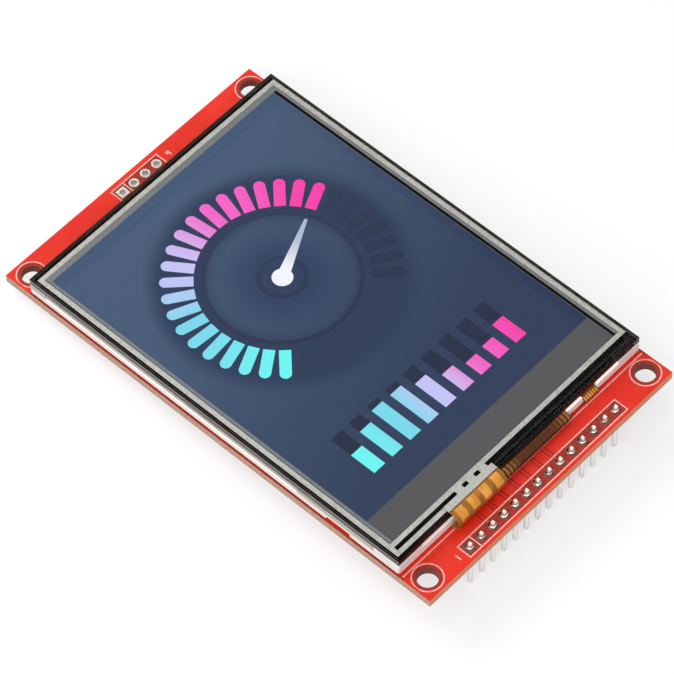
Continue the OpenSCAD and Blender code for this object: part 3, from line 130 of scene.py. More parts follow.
def between(tree, amount, first, second, start=0.0, end=1.0):
    """A colour that goes from first to second as amount goes from start to end."""
    share = add(tree, "ShaderNodeMapRange", {0: amount, 1: start, 2: end, 3: 0.0, 4: 1.0},
                interpolation_type="SMOOTHSTEP").outputs[0]
    mix = add(tree, "ShaderNodeMix", {"Factor": share}, data_type="RGBA")
    for slot, colour in ((6, first), (7, second)):
        if isinstance(colour, bpy.types.NodeSocket):
            tree.links.new(colour, mix.inputs[slot])
        else:
            mix.inputs[slot].default_value = colour
    return mix.outputs[2]


def level(tree, amount, low, high):
    """A number from low to high as noise goes from its usual low to its usual high."""
    return add(tree, "ShaderNodeMapRange", {0: amount, 1: 0.3, 2: 0.7, 3: low, 4: high}).outputs[0]


def rough_skin(tree, shader, height, depth_mm, strength=1.0):
    """Bump the surface by depth_mm times height."""
    bump = add(tree, "ShaderNodeBump", {"Height": height, "Strength": strength, "Distance": depth_mm * MM})
    tree.links.new(bump.outputs[0], shader.inputs["Normal"])


def math_node(tree, operation, *values):
    """One sum or comparison of numbers."""
    return add(tree, "ShaderNodeMath", dict(enumerate(values)), operation=operation).outputs[0]


def inside_of(tree, spot, half_x, half_y):
    """1 where a point is nearer to the middle than half_x and half_y, and 0 outside."""
    near_x = math_node(tree, "LESS_THAN", math_node(tree, "ABSOLUTE", spot.outputs["X"]), half_x)
    near_y = math_node(tree, "LESS_THAN", math_node(tree, "ABSOLUTE", spot.outputs["Y"]), half_y)
    return math_node(tree, "MULTIPLY", near_x, near_y)


def dress(material, *nodes):
    """Give CAD nodes this finish."""
    for node in nodes:
        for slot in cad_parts[node].material_slots:
            slot.material = material


print("helpers ready")

# %% [markdown]
# ## The board
# The board is glass cloth in epoxy. Its edges were cut by a router, so they show the layers of
# cloth as fine tan stripes with a rough skin. Noise that is stretched wide along the board and
# squeezed in height gives such stripes without any drawing. The edge beside the pin header is painted
# a lighter, warmer tan, which is painted light on that side, and the walls of the holes are dark, so
# the colour also asks where a point lies.

# %% Laminate
laminate, tree, shader = new_material("laminate", Roughness=0.62)
layers = noise(tree, 1.0, 4.0, stretch=(1.2, 1.2, 7.0))
fibres = noise(tree, 0.35, 2.0, stretch=(1.0, 1.0, 3.0))
cloth = between(tree, layers, linear(174, 134, 112), linear(206, 176, 158), 0.34, 0.66)
cut = between(tree, fibres, cloth, linear(196, 160, 134), 0.45, 0.8)
board_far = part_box("circuit_board")[1]
spot = add(tree, "ShaderNodeSeparateXYZ", {0: places(tree)})
# Painted light: the board's face beside the pin header is made a lighter orange than its other edges.
painted_lit_front = between(tree, spot.outputs["Y"], linear(244, 154, 110), cut, -board_far.y, -board_far.y + 0.2 * MM)
drilled = inside_of(tree, spot, board_far.x - 0.2 * MM, board_far.y - 0.2 * MM)
tree.links.new(between(tree, drilled, painted_lit_front, linear(112, 48, 34)), shader.inputs["Base Color"])
rough_skin(tree, shader, fibres, 0.03)
dress(laminate, "circuit_board")

# %% [markdown]
# The solder mask is a glossy red lacquer. Over copper it looks bright, and over bare laminate, which
# lies one copper layer lower, it looks dull. The solids keep that step, so the colour asks how high
# a point lies. A narrow strip along the rim of the board's two open ends is bright as well. A faint
# orange-peel bump keeps the gloss from looking like glass.

# %% Solder mask
board_low, board_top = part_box("solder_mask_bottom")[0].z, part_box("solder_mask_top")[1].z
display_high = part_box("backlight_frame")[1]
mask_step, edge_w = 0.02 * MM, 0.42 * MM


def solder_mask(name, upper):
    material, tree, shader = new_material(name, Roughness=0.3, Specular_IOR_Level=0.25)
    spot = add(tree, "ShaderNodeSeparateXYZ", {0: places(tree)})
    height = spot.outputs["Z"]
    copper_face = board_top - mask_step if upper else -(board_low + mask_step)
    if not upper:
        height = math_node(tree, "MULTIPLY", height, -1.0)
    raised = math_node(tree, "GREATER_THAN", height, copper_face)
    beside = inside_of(tree, spot, board_far.x, display_high.y)
    open_board = math_node(tree, "SUBTRACT", 1.0, beside)
    within = inside_of(tree, spot, board_far.x - edge_w, board_far.y - edge_w)
    edge = math_node(tree, "SUBTRACT", open_board, within)
    over_copper = math_node(tree, "MAXIMUM", raised, edge)
    cloud = noise(tree, 9.0, 2.0)
    bright = between(tree, cloud, linear(216, 41, 27), linear(228, 50, 34), 0.3, 0.7)
    dull = between(tree, noise(tree, 0.5), linear(146, 36, 23), linear(164, 48, 34), 0.3, 0.7)
    tree.links.new(between(tree, over_copper, dull, bright), shader.inputs["Base Color"])
    rough_skin(tree, shader, noise(tree, 0.7), 0.02, 0.5)
    return material


dress(solder_mask("solder_mask_upper", True), "solder_mask_top")
dress(solder_mask("solder_mask_lower", False), "solder_mask_bottom")
print("board top at", round(board_top / MM, 3), "mm")

# %% [markdown]
# The printed lines are a thin white ink that lets a little of the red through. Copper only shows at
# the walls of the layers, so a warm metal with some tarnish is enough for it. Tin comes in three
# tones: bright on wire, flatter on levelled pads, and painted dark round the pins, where the dark is
# painted shade and a painted dark reflection.

# %% Ink and copper
ink, tree, shader = new_material("printed_ink", Roughness=0.55)
tree.links.new(between(tree, noise(tree, 0.25), linear(216, 148, 138), linear(238, 182, 172), 0.35, 0.6),
               shader.inputs["Base Color"])
rough_skin(tree, shader, noise(tree, 0.1), 0.004)
dress(ink, "silkscreen_top", "silkscreen_bottom")


def metal(name, dark, light, roughness, grain_mm=0.4, stretch=(1, 1, 1), bump_mm=0.004, **more):
    """A metal whose colour and gloss wander a little with the grain."""
    material, tree, shader = new_material(name, Metallic=1.0, **more)
    grain = noise(tree, grain_mm, 3.0, stretch)
    tree.links.new(between(tree, grain, dark, light, 0.3, 0.7), shader.inputs["Base Color"])
    tree.links.new(level(tree, grain, roughness * 0.8, roughness * 1.25), shader.inputs["Roughness"])
    rough_skin(tree, shader, grain, bump_mm)
    return material


copper = metal("copper", linear(170, 104, 66), linear(206, 136, 92), 0.42)
tin = metal("tinned_metal", linear(240, 237, 233), linear(252, 250, 247), 0.34)
flat_tin = metal("levelled_tin", linear(182, 178, 172), linear(218, 214, 208), 0.36)
gold = metal("gold_plating", linear(196, 150, 66), linear(236, 196, 112), 0.30)
dress(copper, "copper_top", "copper_bottom")
# Painted shade: the header pads are made dark to stand in for shade and dark reflections round the pins.
shaded_pad_tin = metal("pad_tin_painted_shade", linear(92, 62, 56), linear(136, 100, 92), 0.4)
dress(shaded_pad_tin, "header_pads")
dress(flat_tin, "card_header_pads", "bottom_pads", "flex_solder")
dress(gold, "display_pads")

# %% [markdown]
# ## Softened copies
# A moulded or stamped edge is never perfectly sharp, and the thin line of light along it is what
# makes a solid look made. A bevel needs a mesh whose faces are joined, so the copy is merged and its
# flat triangles are dissolved first. Weighted normals then keep the broad faces flat.

# %% Softening tool
def place(name, mesh, material, *nodes):
    """A finished piece on the module, standing for the given CAD nodes."""
    piece = bpy.data.objects.new(name, mesh)
    bpy.context.scene.collection.objects.link(piece)
    if material is not None:
        mesh.materials.clear()
        mesh.materials.append(material)
    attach(piece, "root")
    if nodes:
        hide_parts(*nodes)
    return piece


def joined_mesh(node):
    """A CAD node's mesh with its triangles merged into whole faces."""
    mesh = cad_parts[node].data.copy()
    work = bmesh.new()
    work.from_mesh(mesh)
    bmesh.ops.remove_doubles(work, verts=work.verts, dist=1e-6)
    bmesh.ops.dissolve_limit(work, angle_limit=math.radians(0.5), verts=work.verts, edges=work.edges)
    work.to_mesh(mesh)
    work.free()
    return mesh


def evaluated_mesh(holder):
    """The mesh that a holder object's modifiers make; the holder itself goes."""
    graph = bpy.context.evaluated_depsgraph_get()
    mesh = bpy.data.meshes.new_from_object(holder.evaluated_get(graph))
    bpy.data.objects.remove(holder)
    return mesh


def soften(node, width_mm, material, segments=2, sharp=32):
    """Replace a CAD node by a copy with small round edges."""
    holder = bpy.data.objects.new(node + "_work", joined_mesh(node))
    bpy.context.scene.collection.objects.link(holder)
    edge = holder.modifiers.new("edges", "BEVEL")
    edge.width = width_mm * MM
    edge.segments = segments
    edge.limit_method = "ANGLE"
    edge.angle_limit = math.radians(sharp)
    edge.use_clamp_overlap = True
    for face in holder.data.polygons:
        face.use_smooth = True
    holder.modifiers.new("flats", "WEIGHTED_NORMAL").weight = 100
    mesh = evaluated_mesh(holder)
    piece = place(node + "_soft", mesh, material, node)
    print(piece.name, "faces:", len(mesh.polygons))
    return piece


# %% [markdown]
# ## The pin header
# Pins are cut from square wire and tinned, and their ends are swaged to a blunt point. One pin is
# built here with a rounded section, and Geometry Nodes sets it along the row. A fixed seed leans
# each one by a fraction of a degree, which is all that a real row is out of line.

# %% One pin
pin_low, pin_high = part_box("header_pins")
pin_count = 14
pin_w = pin_high.y - pin_low.y
pin_pitch = (pin_high.x - pin_low.x - pin_w) / (pin_count - 1)
first_pin = Vector((pin_low.x + pin_w / 2, (pin_low.y + pin_high.y) / 2, 0))


def loft(sections):
    """A closed skin over rings of equal length, each a list of points."""
    work = bmesh.new()
    rings = [[work.verts.new(p) for p in ring] for ring in sections]
    for lower, upper in zip(rings, rings[1:]):
        for i in range(len(lower)):
            j = (i + 1) % len(lower)
            work.faces.new((lower[i], lower[j], upper[j], upper[i]))
    work.faces.new(list(reversed(rings[0])))
    work.faces.new(rings[-1])
    bmesh.ops.recalc_face_normals(work, faces=work.faces)
    mesh = bpy.data.meshes.new("loft")
    work.to_mesh(mesh)
    work.free()
    for face in mesh.polygons:
        face.use_smooth = True
    mesh.set_sharp_from_angle(angle=math.radians(50))
    return mesh


def square_ring(half, corner, z):
    """Eight points of a square with cut corners at height z."""
    flat = half - corner
    return [Vector(p) for p in ((flat, -half, z), (half, -flat, z), (half, flat, z), (flat, half, z),
                                (-flat, half, z), (-half, flat, z), (-half, -flat, z), (-flat, -half, z))]


half, taper = pin_w / 2, 0.45 * MM
heights = [(0.20, pin_low.z), (0.34, pin_low.z + taper * 0.12), (0.90, pin_low.z + taper * 0.85),
           (1.0, pin_low.z + taper), (1.0, pin_high.z - taper), (0.90, pin_high.z - taper * 0.85),
           (0.34, pin_high.z - taper * 0.12), (0.20, pin_high.z)]
pin_mesh = loft([square_ring(half * share, half * share * 0.16, z) for share, z in heights])
print("pin pitch in mm:", round(pin_pitch / MM, 3), "pin width:", round(pin_w / MM, 3))

# %% [markdown]
# The tree below sets any master piece along a straight row. It has named inputs for the master, the
# count, the first place, the step, the lean and the seed, so the same tree serves pins, solder
# joints and whatever else stands in a row. It ends in Realize Instances and Set Material.

# %% Row tree
def new_tree(name, inputs):
    """A geometry tree with named inputs; gives the tree, its input node and its output node."""
    tree = bpy.data.node_groups.new(name, "GeometryNodeTree")
    for label, kind in inputs:
        tree.interface.new_socket(label, in_out="INPUT", socket_type="NodeSocket" + kind)
    tree.interface.new_socket("Geometry", in_out="OUTPUT", socket_type="NodeSocketGeometry")
    return tree, tree.nodes.new("NodeGroupInput"), tree.nodes.new("NodeGroupOutput")


def grow(name, tree, material, nodes=(), **values):
    """Run a tree with these inputs and keep the result as a plain piece."""
    holder = bpy.data.objects.new(name + "_work", bpy.data.meshes.new(name))
    bpy.context.scene.collection.objects.link(holder)
    modifier = holder.modifiers.new("tree", "NODES")
    modifier.node_group = tree
    values["Material"] = material
    for socket in tree.interface.items_tree:
        if socket.item_type == "SOCKET" and socket.in_out == "INPUT":
            modifier[socket.identifier] = values[socket.name]
    mesh = evaluated_mesh(holder)
    piece = place(name, mesh, None, *nodes)
    print(name, "faces:", len(mesh.polygons))
    return piece


def finish_tree(tree, out, geometry, material):
    """Realise, give the material and reach the output."""
    real = add(tree, "GeometryNodeRealizeInstances", {"Geometry": geometry}).outputs[0]
    done = add(tree, "GeometryNodeSetMaterial", {"Geometry": real, "Material": material}).outputs[0]
    tree.links.new(done, out.inputs[0])


row_tree, given, out = new_tree("row_of_pieces", [
    ("Master", "Object"), ("Count", "Int"), ("First", "Vector"), ("Step", "Vector"),
    ("Lean", "Float"), ("Spin", "Float"), ("Swell", "Float"), ("Seed", "Int"), ("Material", "Material")])
line = add(row_tree, "GeometryNodeMeshLine", {"Count": given.outputs["Count"],
           "Start Location": given.outputs["First"], "Offset": given.outputs["Step"]}, mode="OFFSET")
master = add(row_tree, "GeometryNodeObjectInfo", {"Object": given.outputs["Master"]})
lean_low = add(row_tree, "ShaderNodeMath", {0: given.outputs["Lean"], 1: -1.0}, operation="MULTIPLY")
low = add(row_tree, "ShaderNodeCombineXYZ", {0: lean_low.outputs[0], 1: lean_low.outputs[0], 2: 0.0})
high = add(row_tree, "ShaderNodeCombineXYZ",
           {0: given.outputs["Lean"], 1: given.outputs["Lean"], 2: given.outputs["Spin"]})
turned = add(row_tree, "FunctionNodeRandomValue",
             {0: low.outputs[0], 1: high.outputs[0], "Seed": given.outputs["Seed"]}, data_type="FLOAT_VECTOR")
least = add(row_tree, "ShaderNodeMath", {0: 1.0, 1: given.outputs["Swell"]}, operation="SUBTRACT")
swollen = add(row_tree, "FunctionNodeRandomValue",
              {2: least.outputs[0], 3: 1.0, "Seed": given.outputs["Seed"]}, data_type="FLOAT")
spread = add(row_tree, "GeometryNodeInstanceOnPoints", {
    "Points": line.outputs[0], "Instance": master.outputs["Geometry"], "Rotation": turned.outputs[0],
    "Scale": swollen.outputs[1]})
finish_tree(row_tree, out, spread.outputs[0], given.outputs["Material"])


def master_object(mesh):
    """A hidden object that a tree can take its shape from."""
    holder = bpy.data.objects.new("master", mesh)
    bpy.context.scene.collection.objects.link(holder)
    return holder


pin_master = master_object(pin_mesh)
grow("header_pins_row", row_tree, tin, ("header_pins",), Master=pin_master, Count=pin_count,
     First=first_pin, Step=Vector((pin_pitch, 0, 0)), Lean=math.radians(0.12), Spin=0.0, Swell=0.0, Seed=4)
bpy.data.objects.remove(pin_master)

# %% [markdown]
# Solder wets the pad and the pin and pulls itself into a hollow cone. The joint is a lathe profile:
# wide and flat at the pad, steep against the pin, with a soft shoulder. Its colour is painted dark near
# the pad, as painted shade, and painted brighter with height, as painted light. The same row tree sets
# the joints, each turned and shrunk by a little, because no two cool alike.

# %% Solder joints
pad_low, pad_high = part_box("header_pads")
joint_low, joint_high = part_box("header_solder")
joint_r = (joint_high.y - joint_low.y) / 2
joint_base = pad_high.z
joint_top = joint_high.z


def lathe(profile, sides=28, wobble=0.0):
    """A solid of revolution about Z from (radius, height) pairs; wobble squeezes it by its angle."""
    rings = []
    for radius, z in profile:
        ring = []
        for i in range(sides):
            angle = 2 * math.pi * i / sides
            r = radius * (1 + wobble * math.sin(2 * angle + 0.6) * min(1, radius / joint_r))
            ring.append(Vector((r * math.cos(angle), r * math.sin(angle), z)))
        rings.append(ring)
    return loft(rings)


rise = joint_top - joint_base
neck = pin_w * 0.56
barrel_r = 0.485 * MM
profile = [(barrel_r, pad_low.z + 0.01 * MM), (barrel_r, joint_base - 0.02 * MM),
           (joint_r * 0.99, joint_base)]
for step in range(1, 10):
    share = step / 9
    radius = neck + (joint_r - neck) * (1 - share) ** 2.1
    profile.append((radius, joint_base + rise * (0.06 + 0.94 * share ** 1.35)))
solder, tree, shader = new_material("solder", Metallic=1.0, Roughness=0.22)
height = add(tree, "ShaderNodeSeparateXYZ", {0: places(tree)}).outputs["Z"]
# Painted shade and painted light: the solder is dark near the pad and brightens with height.
painted_shade_base = between(tree, noise(tree, 0.6), linear(84, 56, 50), linear(112, 84, 78), 0.3, 0.7)
painted_light_by_height = between(tree, height, painted_shade_base, linear(226, 223, 219), joint_base + 0.1 * MM, joint_top - 0.35 * MM)
tree.links.new(painted_light_by_height, shader.inputs["Base Color"])
rough_skin(tree, shader, noise(tree, 0.6), 0.01)
joint_master = master_object(lathe(profile, wobble=0.03))
grow("header_solder_joints", row_tree, solder, ("header_solder",), Master=joint_master, Count=pin_count,
     First=Vector((first_pin.x, first_pin.y, 0)), Step=Vector((pin_pitch, 0, 0)), Lean=0.0,
     Spin=math.radians(180), Swell=0.05, Seed=11)
bpy.data.objects.remove(joint_master)

# %% [markdown]
# The housing is black glass-filled nylon, which is slightly grey and grainy. The card socket's base
# is black too, but smoother, and the chips have a finer grain, so each has its own finish.

# %% Black plastics
def moulded(name, dark, light, roughness, grain_mm, bump_mm, **more):
    """A moulded plastic with a fine grain."""
    material, tree, shader = new_material(name, **more)
    grain = noise(tree, grain_mm, 4.0)
    tone = between(tree, noise(tree, grain_mm * 12), dark, light, 0.35, 0.65)
    tree.links.new(tone, shader.inputs["Base Color"])
    tree.links.new(level(tree, grain, roughness * 0.85, roughness * 1.2), shader.inputs["Roughness"])
    rough_skin(tree, shader, grain, bump_mm)
    return material


nylon = moulded("black_nylon", linear(24, 23, 24), linear(34, 33, 34), 0.5, 0.12, 0.012)
socket_plastic = moulded("socket_plastic", linear(20, 20, 21), linear(28, 28, 30), 0.42, 0.2, 0.008)
epoxy = moulded("chip_epoxy", linear(26, 26, 28), linear(36, 36, 38), 0.55, 0.06, 0.01)
soften("header_housing", 0.08, nylon)
soften("card_socket_base", 0.06, socket_plastic)
soften("touch_controller", 0.05, epoxy)
soften("regulator_and_transistor", 0.05, epoxy)

# %% [markdown]
# ## The card socket's shell
# The shell is stamped from stainless strip, so its grain runs one way and its edges are slightly
# rolled. Noise that is long in X and short in Y gives the grain.

# %% Steel shell
steel = metal("stainless_strip", linear(168, 166, 162), linear(208, 206, 200), 0.32, 0.9,
              (0.12, 4.0, 1.0), 0.006)
soften("card_socket_shell", 0.05, steel)

# %% [markdown]
# ## Strips in a row
# Sprung contacts, chip leads and the traces of a flex are all thin strips that follow one bent path
# and repeat at a fixed step. The next tree takes a path, gives it a flat section, and sets the strip
# along a row. The path is drawn as a chain of points, and its normal is held in the strip's own
# width, so that the strip can't twist on its way round a bend.

# %% Strip tree
strip_tree, given, out = new_tree("strips_in_a_row", [
    ("Path", "Object"), ("Count", "Int"), ("First", "Vector"), ("Step", "Vector"), ("Across", "Vector"),
    ("Width", "Float"), ("Thickness", "Float"), ("Material", "Material")])
source = add(strip_tree, "GeometryNodeObjectInfo", {"Object": given.outputs["Path"]})
curve = add(strip_tree, "GeometryNodeMeshToCurve", {"Mesh": source.outputs["Geometry"]})
held = add(strip_tree, "GeometryNodeSetCurveNormal",
           {"Curve": curve.outputs[0], "Normal": given.outputs["Across"]}, mode="FREE")
section = add(strip_tree, "GeometryNodeCurvePrimitiveQuadrilateral",
              {"Width": given.outputs["Width"], "Height": given.outputs["Thickness"]}, mode="RECTANGLE")
strip = add(strip_tree, "GeometryNodeCurveToMesh",
            {"Curve": held.outputs[0], "Profile Curve": section.outputs[0], "Fill Caps": True})
line = add(strip_tree, "GeometryNodeMeshLine", {"Count": given.outputs["Count"],
           "Start Location": given.outputs["First"], "Offset": given.outputs["Step"]}, mode="OFFSET")
spread = add(strip_tree, "GeometryNodeInstanceOnPoints",
             {"Points": line.outputs[0], "Instance": strip.outputs[0]})
finish_tree(strip_tree, out, spread.outputs[0], given.outputs["Material"])


def path_object(points):
    """A chain of points as an object that the strip tree can follow."""
    mesh = bpy.data.meshes.new("path")
    mesh.from_pydata([tuple(p) for p in points], [(i, i + 1) for i in range(len(points) - 1)], [])
    return master_object(mesh)


def strips(name, points, nodes, material, **values):
    """Grow a row of strips along a path, and drop the path."""
    path = path_object(points)
    piece = grow(name, strip_tree, material, nodes, Path=path, **values)
    piece.data.set_sharp_from_angle(angle=math.radians(35))
    bpy.data.objects.remove(path)
    return piece


def rounded(points, radius, steps=6):
    """Corner points of a path replaced by small arcs."""
    path = [points[0]]
    for before, corner, after in zip(points, points[1:], points[2:]):
        back, ahead = (before - corner), (after - corner)
        reach = min(radius, back.length * 0.45, ahead.length * 0.45)
        start, end = corner + back.normalized() * reach, corner + ahead.normalized() * reach
        for i in range(steps + 1):
            t = i / steps
            path.append(start * (1 - t) ** 2 + corner * 2 * t * (1 - t) + end * t ** 2)
    path.append(points[-1])
    return path


# %% [markdown]
# A flex leaves the glass flat, rolls down round the frame's rim in a half circle and runs back under
# the frame. The box of the traces' solid gives the roll: half its height is the outer radius, and
# its lowest Y is where the roll bulges most. The display flex's traces are copper under brown film,
# lighter toward both sides. Those of the other two flexes look like soft gold.

# %% Traces on the flexes
def rolled_path(node, thickness, top_run):
    """The middle line of a strip that is rolled round the rim, inside the box of its solid."""
    low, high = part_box(node)
    outer = (high.z - low.z) / 2
    middle = Vector((0, low.y + outer, (low.z + high.z) / 2))
    r = outer - thickness / 2
    path = [Vector((0, middle.y + top_run, middle.z + r)), Vector((0, middle.y, middle.z + r))]
    for i in range(1, 24):
        angle = math.pi / 2 + math.pi * i / 24
        path.append(Vector((0, middle.y + r * math.cos(angle), middle.z + r * math.sin(angle))))
    path += [Vector((0, middle.y, middle.z - r)), Vector((0, high.y, middle.z - r))]
    return path


def flex_traces(node, count, width, top_run, material):
    """Replace a node of flex traces by strips grown along its roll."""
    low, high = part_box(node)
    thickness = 0.02 * MM
    pitch = (high.x - low.x - width) / (count - 1)
    return strips(node + "_rolled", rolled_path(node, thickness, top_run), (node,), material, Count=count,
                  First=Vector((low.x + width / 2, 0, 0)), Step=Vector((pitch, 0, 0)),
                  Across=Vector((1, 0, 0)), Width=width, Thickness=thickness)


def polyimide(name, dark, light, roughness):
    """Flex film: an amber to brown plastic with a soft gloss."""
    material, tree, shader = new_material(name, Specular_IOR_Level=0.3)
    tree.links.new(between(tree, noise(tree, 1.6, 2.0), dark, light, 0.3, 0.7), shader.inputs["Base Color"])
    gloss = level(tree, noise(tree, 0.8), roughness * 0.8, roughness * 1.3)
    tree.links.new(gloss, shader.inputs["Roughness"])
    rough_skin(tree, shader, noise(tree, 1.2, 1.0), 0.01, 0.5)
    return material


amber = polyimide("amber_film", linear(146, 88, 22), linear(172, 108, 34), 0.3)
rust = polyimide("rust_film", linear(112, 58, 26), linear(134, 72, 34), 0.3)
brown = polyimide("brown_film", linear(66, 32, 15), linear(82, 42, 21), 0.3)
covered_copper, tree, shader = new_material("covered_copper", Metallic=1.0, Roughness=0.4)
flex_low, flex_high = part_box("display_flex_traces")
across = add(tree, "ShaderNodeSeparateXYZ", {0: places(tree)}).outputs["X"]
from_middle = math_node(tree, "ABSOLUTE", math_node(tree, "SUBTRACT", across, (flex_low.x + flex_high.x) / 2))
half_flex = (flex_high.x - flex_low.x) / 2
tone = between(tree, from_middle, linear(96, 54, 26), linear(164, 106, 50), half_flex * 0.45, half_flex)
tarnish = between(tree, noise(tree, 1.2), tone, linear(118, 70, 36), 0.5, 0.9)
tree.links.new(tarnish, shader.inputs["Base Color"])
rough_skin(tree, shader, noise(tree, 0.8), 0.004)
soft_gold = metal("soft_gold", linear(206, 136, 52), linear(232, 166, 82), 0.34, 1.5)
dress(amber, "touch_flex")
dress(rust, "backlight_flex")
dress(brown, "display_flex")
flex_traces("display_flex_traces", 18, 0.4 * MM, 0.7 * MM, covered_copper)
flex_traces("touch_flex_traces", 4, 1.55 * MM, 0.05 * MM, soft_gold)
flex_traces("backlight_flex_traces", 6, 0.295 * MM, 0.35 * MM, soft_gold)

# %% [markdown]
# A socket contact is one strip of gold-plated bronze: a soldered tail, a knee, a long rising beam
# and a rounded nose that rubs on the card. Its corners are eased into arcs, as a bending die does.

# %% Socket contacts
contact_low, contact_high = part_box("card_socket_contacts")
contact_w, contact_t, contact_count = 0.7 * MM, 0.15 * MM, 9
contact_pitch = (contact_high.y - contact_low.y - contact_w) / (contact_count - 1)
nose_r = 0.35 * MM
flat_z = contact_high.z - contact_t / 2
nose_x = contact_high.x - nose_r
corners = [Vector((contact_low.x, 0, flat_z)), Vector((nose_x - 5.3 * MM, 0, flat_z)),
           Vector((nose_x - nose_r * 0.8, 0, contact_low.z + nose_r * 0.62))]
contact_path = rounded(corners, 1.2 * MM)
nose_mid = Vector((nose_x, 0, contact_low.z + nose_r))
for i in range(13):
    angle = math.radians(205 + i * 155 / 12)
    reach = nose_r - contact_t / 2
    contact_path.append(nose_mid + Vector((math.cos(angle), 0, math.sin(angle))) * reach)
strips("card_socket_contacts_sprung", contact_path, ("card_socket_contacts",), gold, Count=contact_count,
       First=Vector((0, contact_low.y + contact_w / 2, 0)), Step=Vector((0, contact_pitch, 0)),
       Across=Vector((0, 1, 0)), Width=contact_w, Thickness=contact_t)

# %% [markdown]
# The controller's leads are gull wings: out of the body's middle, down, and flat on the pad. Both
# rows follow the same path, the second one turned to the other side.

# %% Chip leads
lead_low, lead_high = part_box("touch_controller_leads")
body_low, body_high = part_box("touch_controller")
lead_w, lead_t, lead_rows = 0.24 * MM, 0.15 * MM, 8
lead_pitch = (lead_high.y - lead_low.y - lead_w) / (lead_rows - 1)
chip_x = (lead_low.x + lead_high.x) / 2
root_z = lead_low.z + lead_t / 2
for side, label in ((-1, "left"), (1, "right")):
    body_x = chip_x + side * (body_high.x - body_low.x) / 2
    tip_x = chip_x + side * (lead_high.x - lead_low.x) / 2
    reach = tip_x - body_x
    wing = rounded([Vector((body_x, 0, root_z)), Vector((body_x + reach * 0.42, 0, root_z)),
                    Vector((body_x + reach * 0.6, 0, -lead_t / 2)), Vector((tip_x, 0, -lead_t / 2))],
                   0.15 * MM)
    strips("controller_leads_" + label, wing, ("touch_controller_leads",), tin, Count=lead_rows,
           First=Vector((0, lead_low.y + lead_w / 2, 0)), Step=Vector((0, lead_pitch, 0)),
           Across=Vector((0, 1, 0)), Width=lead_w, Thickness=lead_t)
dress(tin, "regulator_and_transistor_leads")

# %% [markdown]
# Resistors are alumina with a black glaze, and capacitors are layered ceramic. Their metal ends are
# dipped, so their edges are rounder than those of the bodies.

# %% Chip resistors and capacitors
glaze = moulded("black_glaze", linear(22, 22, 24), linear(34, 34, 38), 0.28, 0.15, 0.004)
ceramic = moulded("tan_ceramic", linear(146, 112, 80), linear(172, 136, 100), 0.5, 0.1, 0.008)
soften("resistor_bodies", 0.03, glaze)
soften("capacitor_bodies", 0.05, ceramic)
soften("resistor_and_capacitor_ends", 0.06, tin)

# %% [markdown]
# ## The white frame
# The display's frame is white polycarbonate. Its upper step, next to the glass, is greyer, except at
# the end where the flexes leave. Height and the distance from that end decide between the two
# tones, and a very fine bump stands for the spark-eroded mould.

# %% Frame
frame_low, frame_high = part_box("backlight_frame")
step_h, block_l = 1.2 * MM, 5.0 * MM
white_plastic, tree, shader = new_material("white_polycarbonate", IOR=1.58, Roughness=0.42)
spot = add(tree, "ShaderNodeSeparateXYZ", {0: places(tree)})
high_up = math_node(tree, "GREATER_THAN", spot.outputs["Z"], frame_low.z + step_h)
past_block = math_node(tree, "GREATER_THAN", spot.outputs["Y"], frame_low.y + block_l)
step_face = math_node(tree, "MULTIPLY", high_up, past_block)
tone = between(tree, step_face, linear(253, 245, 240), linear(188, 180, 172))
tone = between(tree, noise(tree, 2.5), tone, linear(222, 214, 206), 0.5, 1.0)
tree.links.new(tone, shader.inputs["Base Color"])
rough_skin(tree, shader, noise(tree, 0.12), 0.006)
soften("backlight_frame", 0.06, white_plastic)

# %% [markdown]
# ## Inside the display
# Only slivers of the sheets ever show, at the lamp end and at the notches, but each has its own
# nature: foam, a mirror film, milky film, ridged prism film, and the light guide's pale acrylic.

# %% Sheets and lamps
foam, tree, shader = new_material("foam_tape", Roughness=0.9)
where = places(tree, (6000, 6000, 6000))
cells = add(tree, "ShaderNodeTexVoronoi", {"Vector": where, "Scale": 1.0}).outputs[0]
tone = between(tree, cells, linear(196, 190, 182), linear(226, 222, 216))
tree.links.new(tone, shader.inputs["Base Color"])
rough_skin(tree, shader, cells, 0.05)
dress(foam, "mounting_tape")


def film(name, colour, darker, roughness, ridge_mm=0.0, along=0):
    """A thin optical sheet, with fine parallel ridges where it is a prism film."""
    material, tree, shader = new_material(name, Roughness=roughness, IOR=1.5)
    tree.links.new(between(tree, noise(tree, 4.0), colour, darker, 0.4, 0.7), shader.inputs["Base Color"])
    height = noise(tree, 0.3)
    if ridge_mm:
        axis = add(tree, "ShaderNodeSeparateXYZ", {0: places(tree)}).outputs[along]
        height = add(tree, "ShaderNodeMath", {0: axis, 1: ridge_mm * MM}, operation="PINGPONG").outputs[0]
    rough_skin(tree, shader, height, 0.01)
    return material


dress(film("mirror_film", linear(224, 226, 230), linear(236, 238, 240), 0.15), "back_reflector")
dress(film("milky_film", linear(238, 238, 236), linear(246, 246, 246), 0.55), "diffuser_sheet")
prism_tones = linear(222, 228, 232), linear(232, 236, 240)
dress(film("prism_film_across", *prism_tones, 0.25, 0.05, 0), "prism_sheet_lower")
dress(film("prism_film_along", *prism_tones, 0.25, 0.05, 1), "prism_sheet_upper")
dress(film("guide_acrylic", linear(226, 238, 240), linear(236, 244, 246), 0.08), "light_guide")
dress(film("lamp_body", linear(240, 222, 150), linear(250, 240, 200), 0.4), "backlight_leds")
dress(film("rear_polariser_film", linear(52, 52, 58), linear(62, 62, 70), 0.3), "rear_polariser")
dress(film("array_glass_dark", linear(60, 66, 66), linear(70, 76, 74), 0.1), "array_glass")
dress(film("bare_silicon", linear(62, 62, 72), linear(78, 78, 90), 0.12), "driver_chip")

# %% [markdown]
# What lies under the touch panel is seen through its glossy film. A ray passes only a limited number
# of clear faces, so the gloss is given to the things below as a thin clear coat, and the film and
# glass above stay almost wholly clear. The gasket's inner walls are a lighter grey than its top.

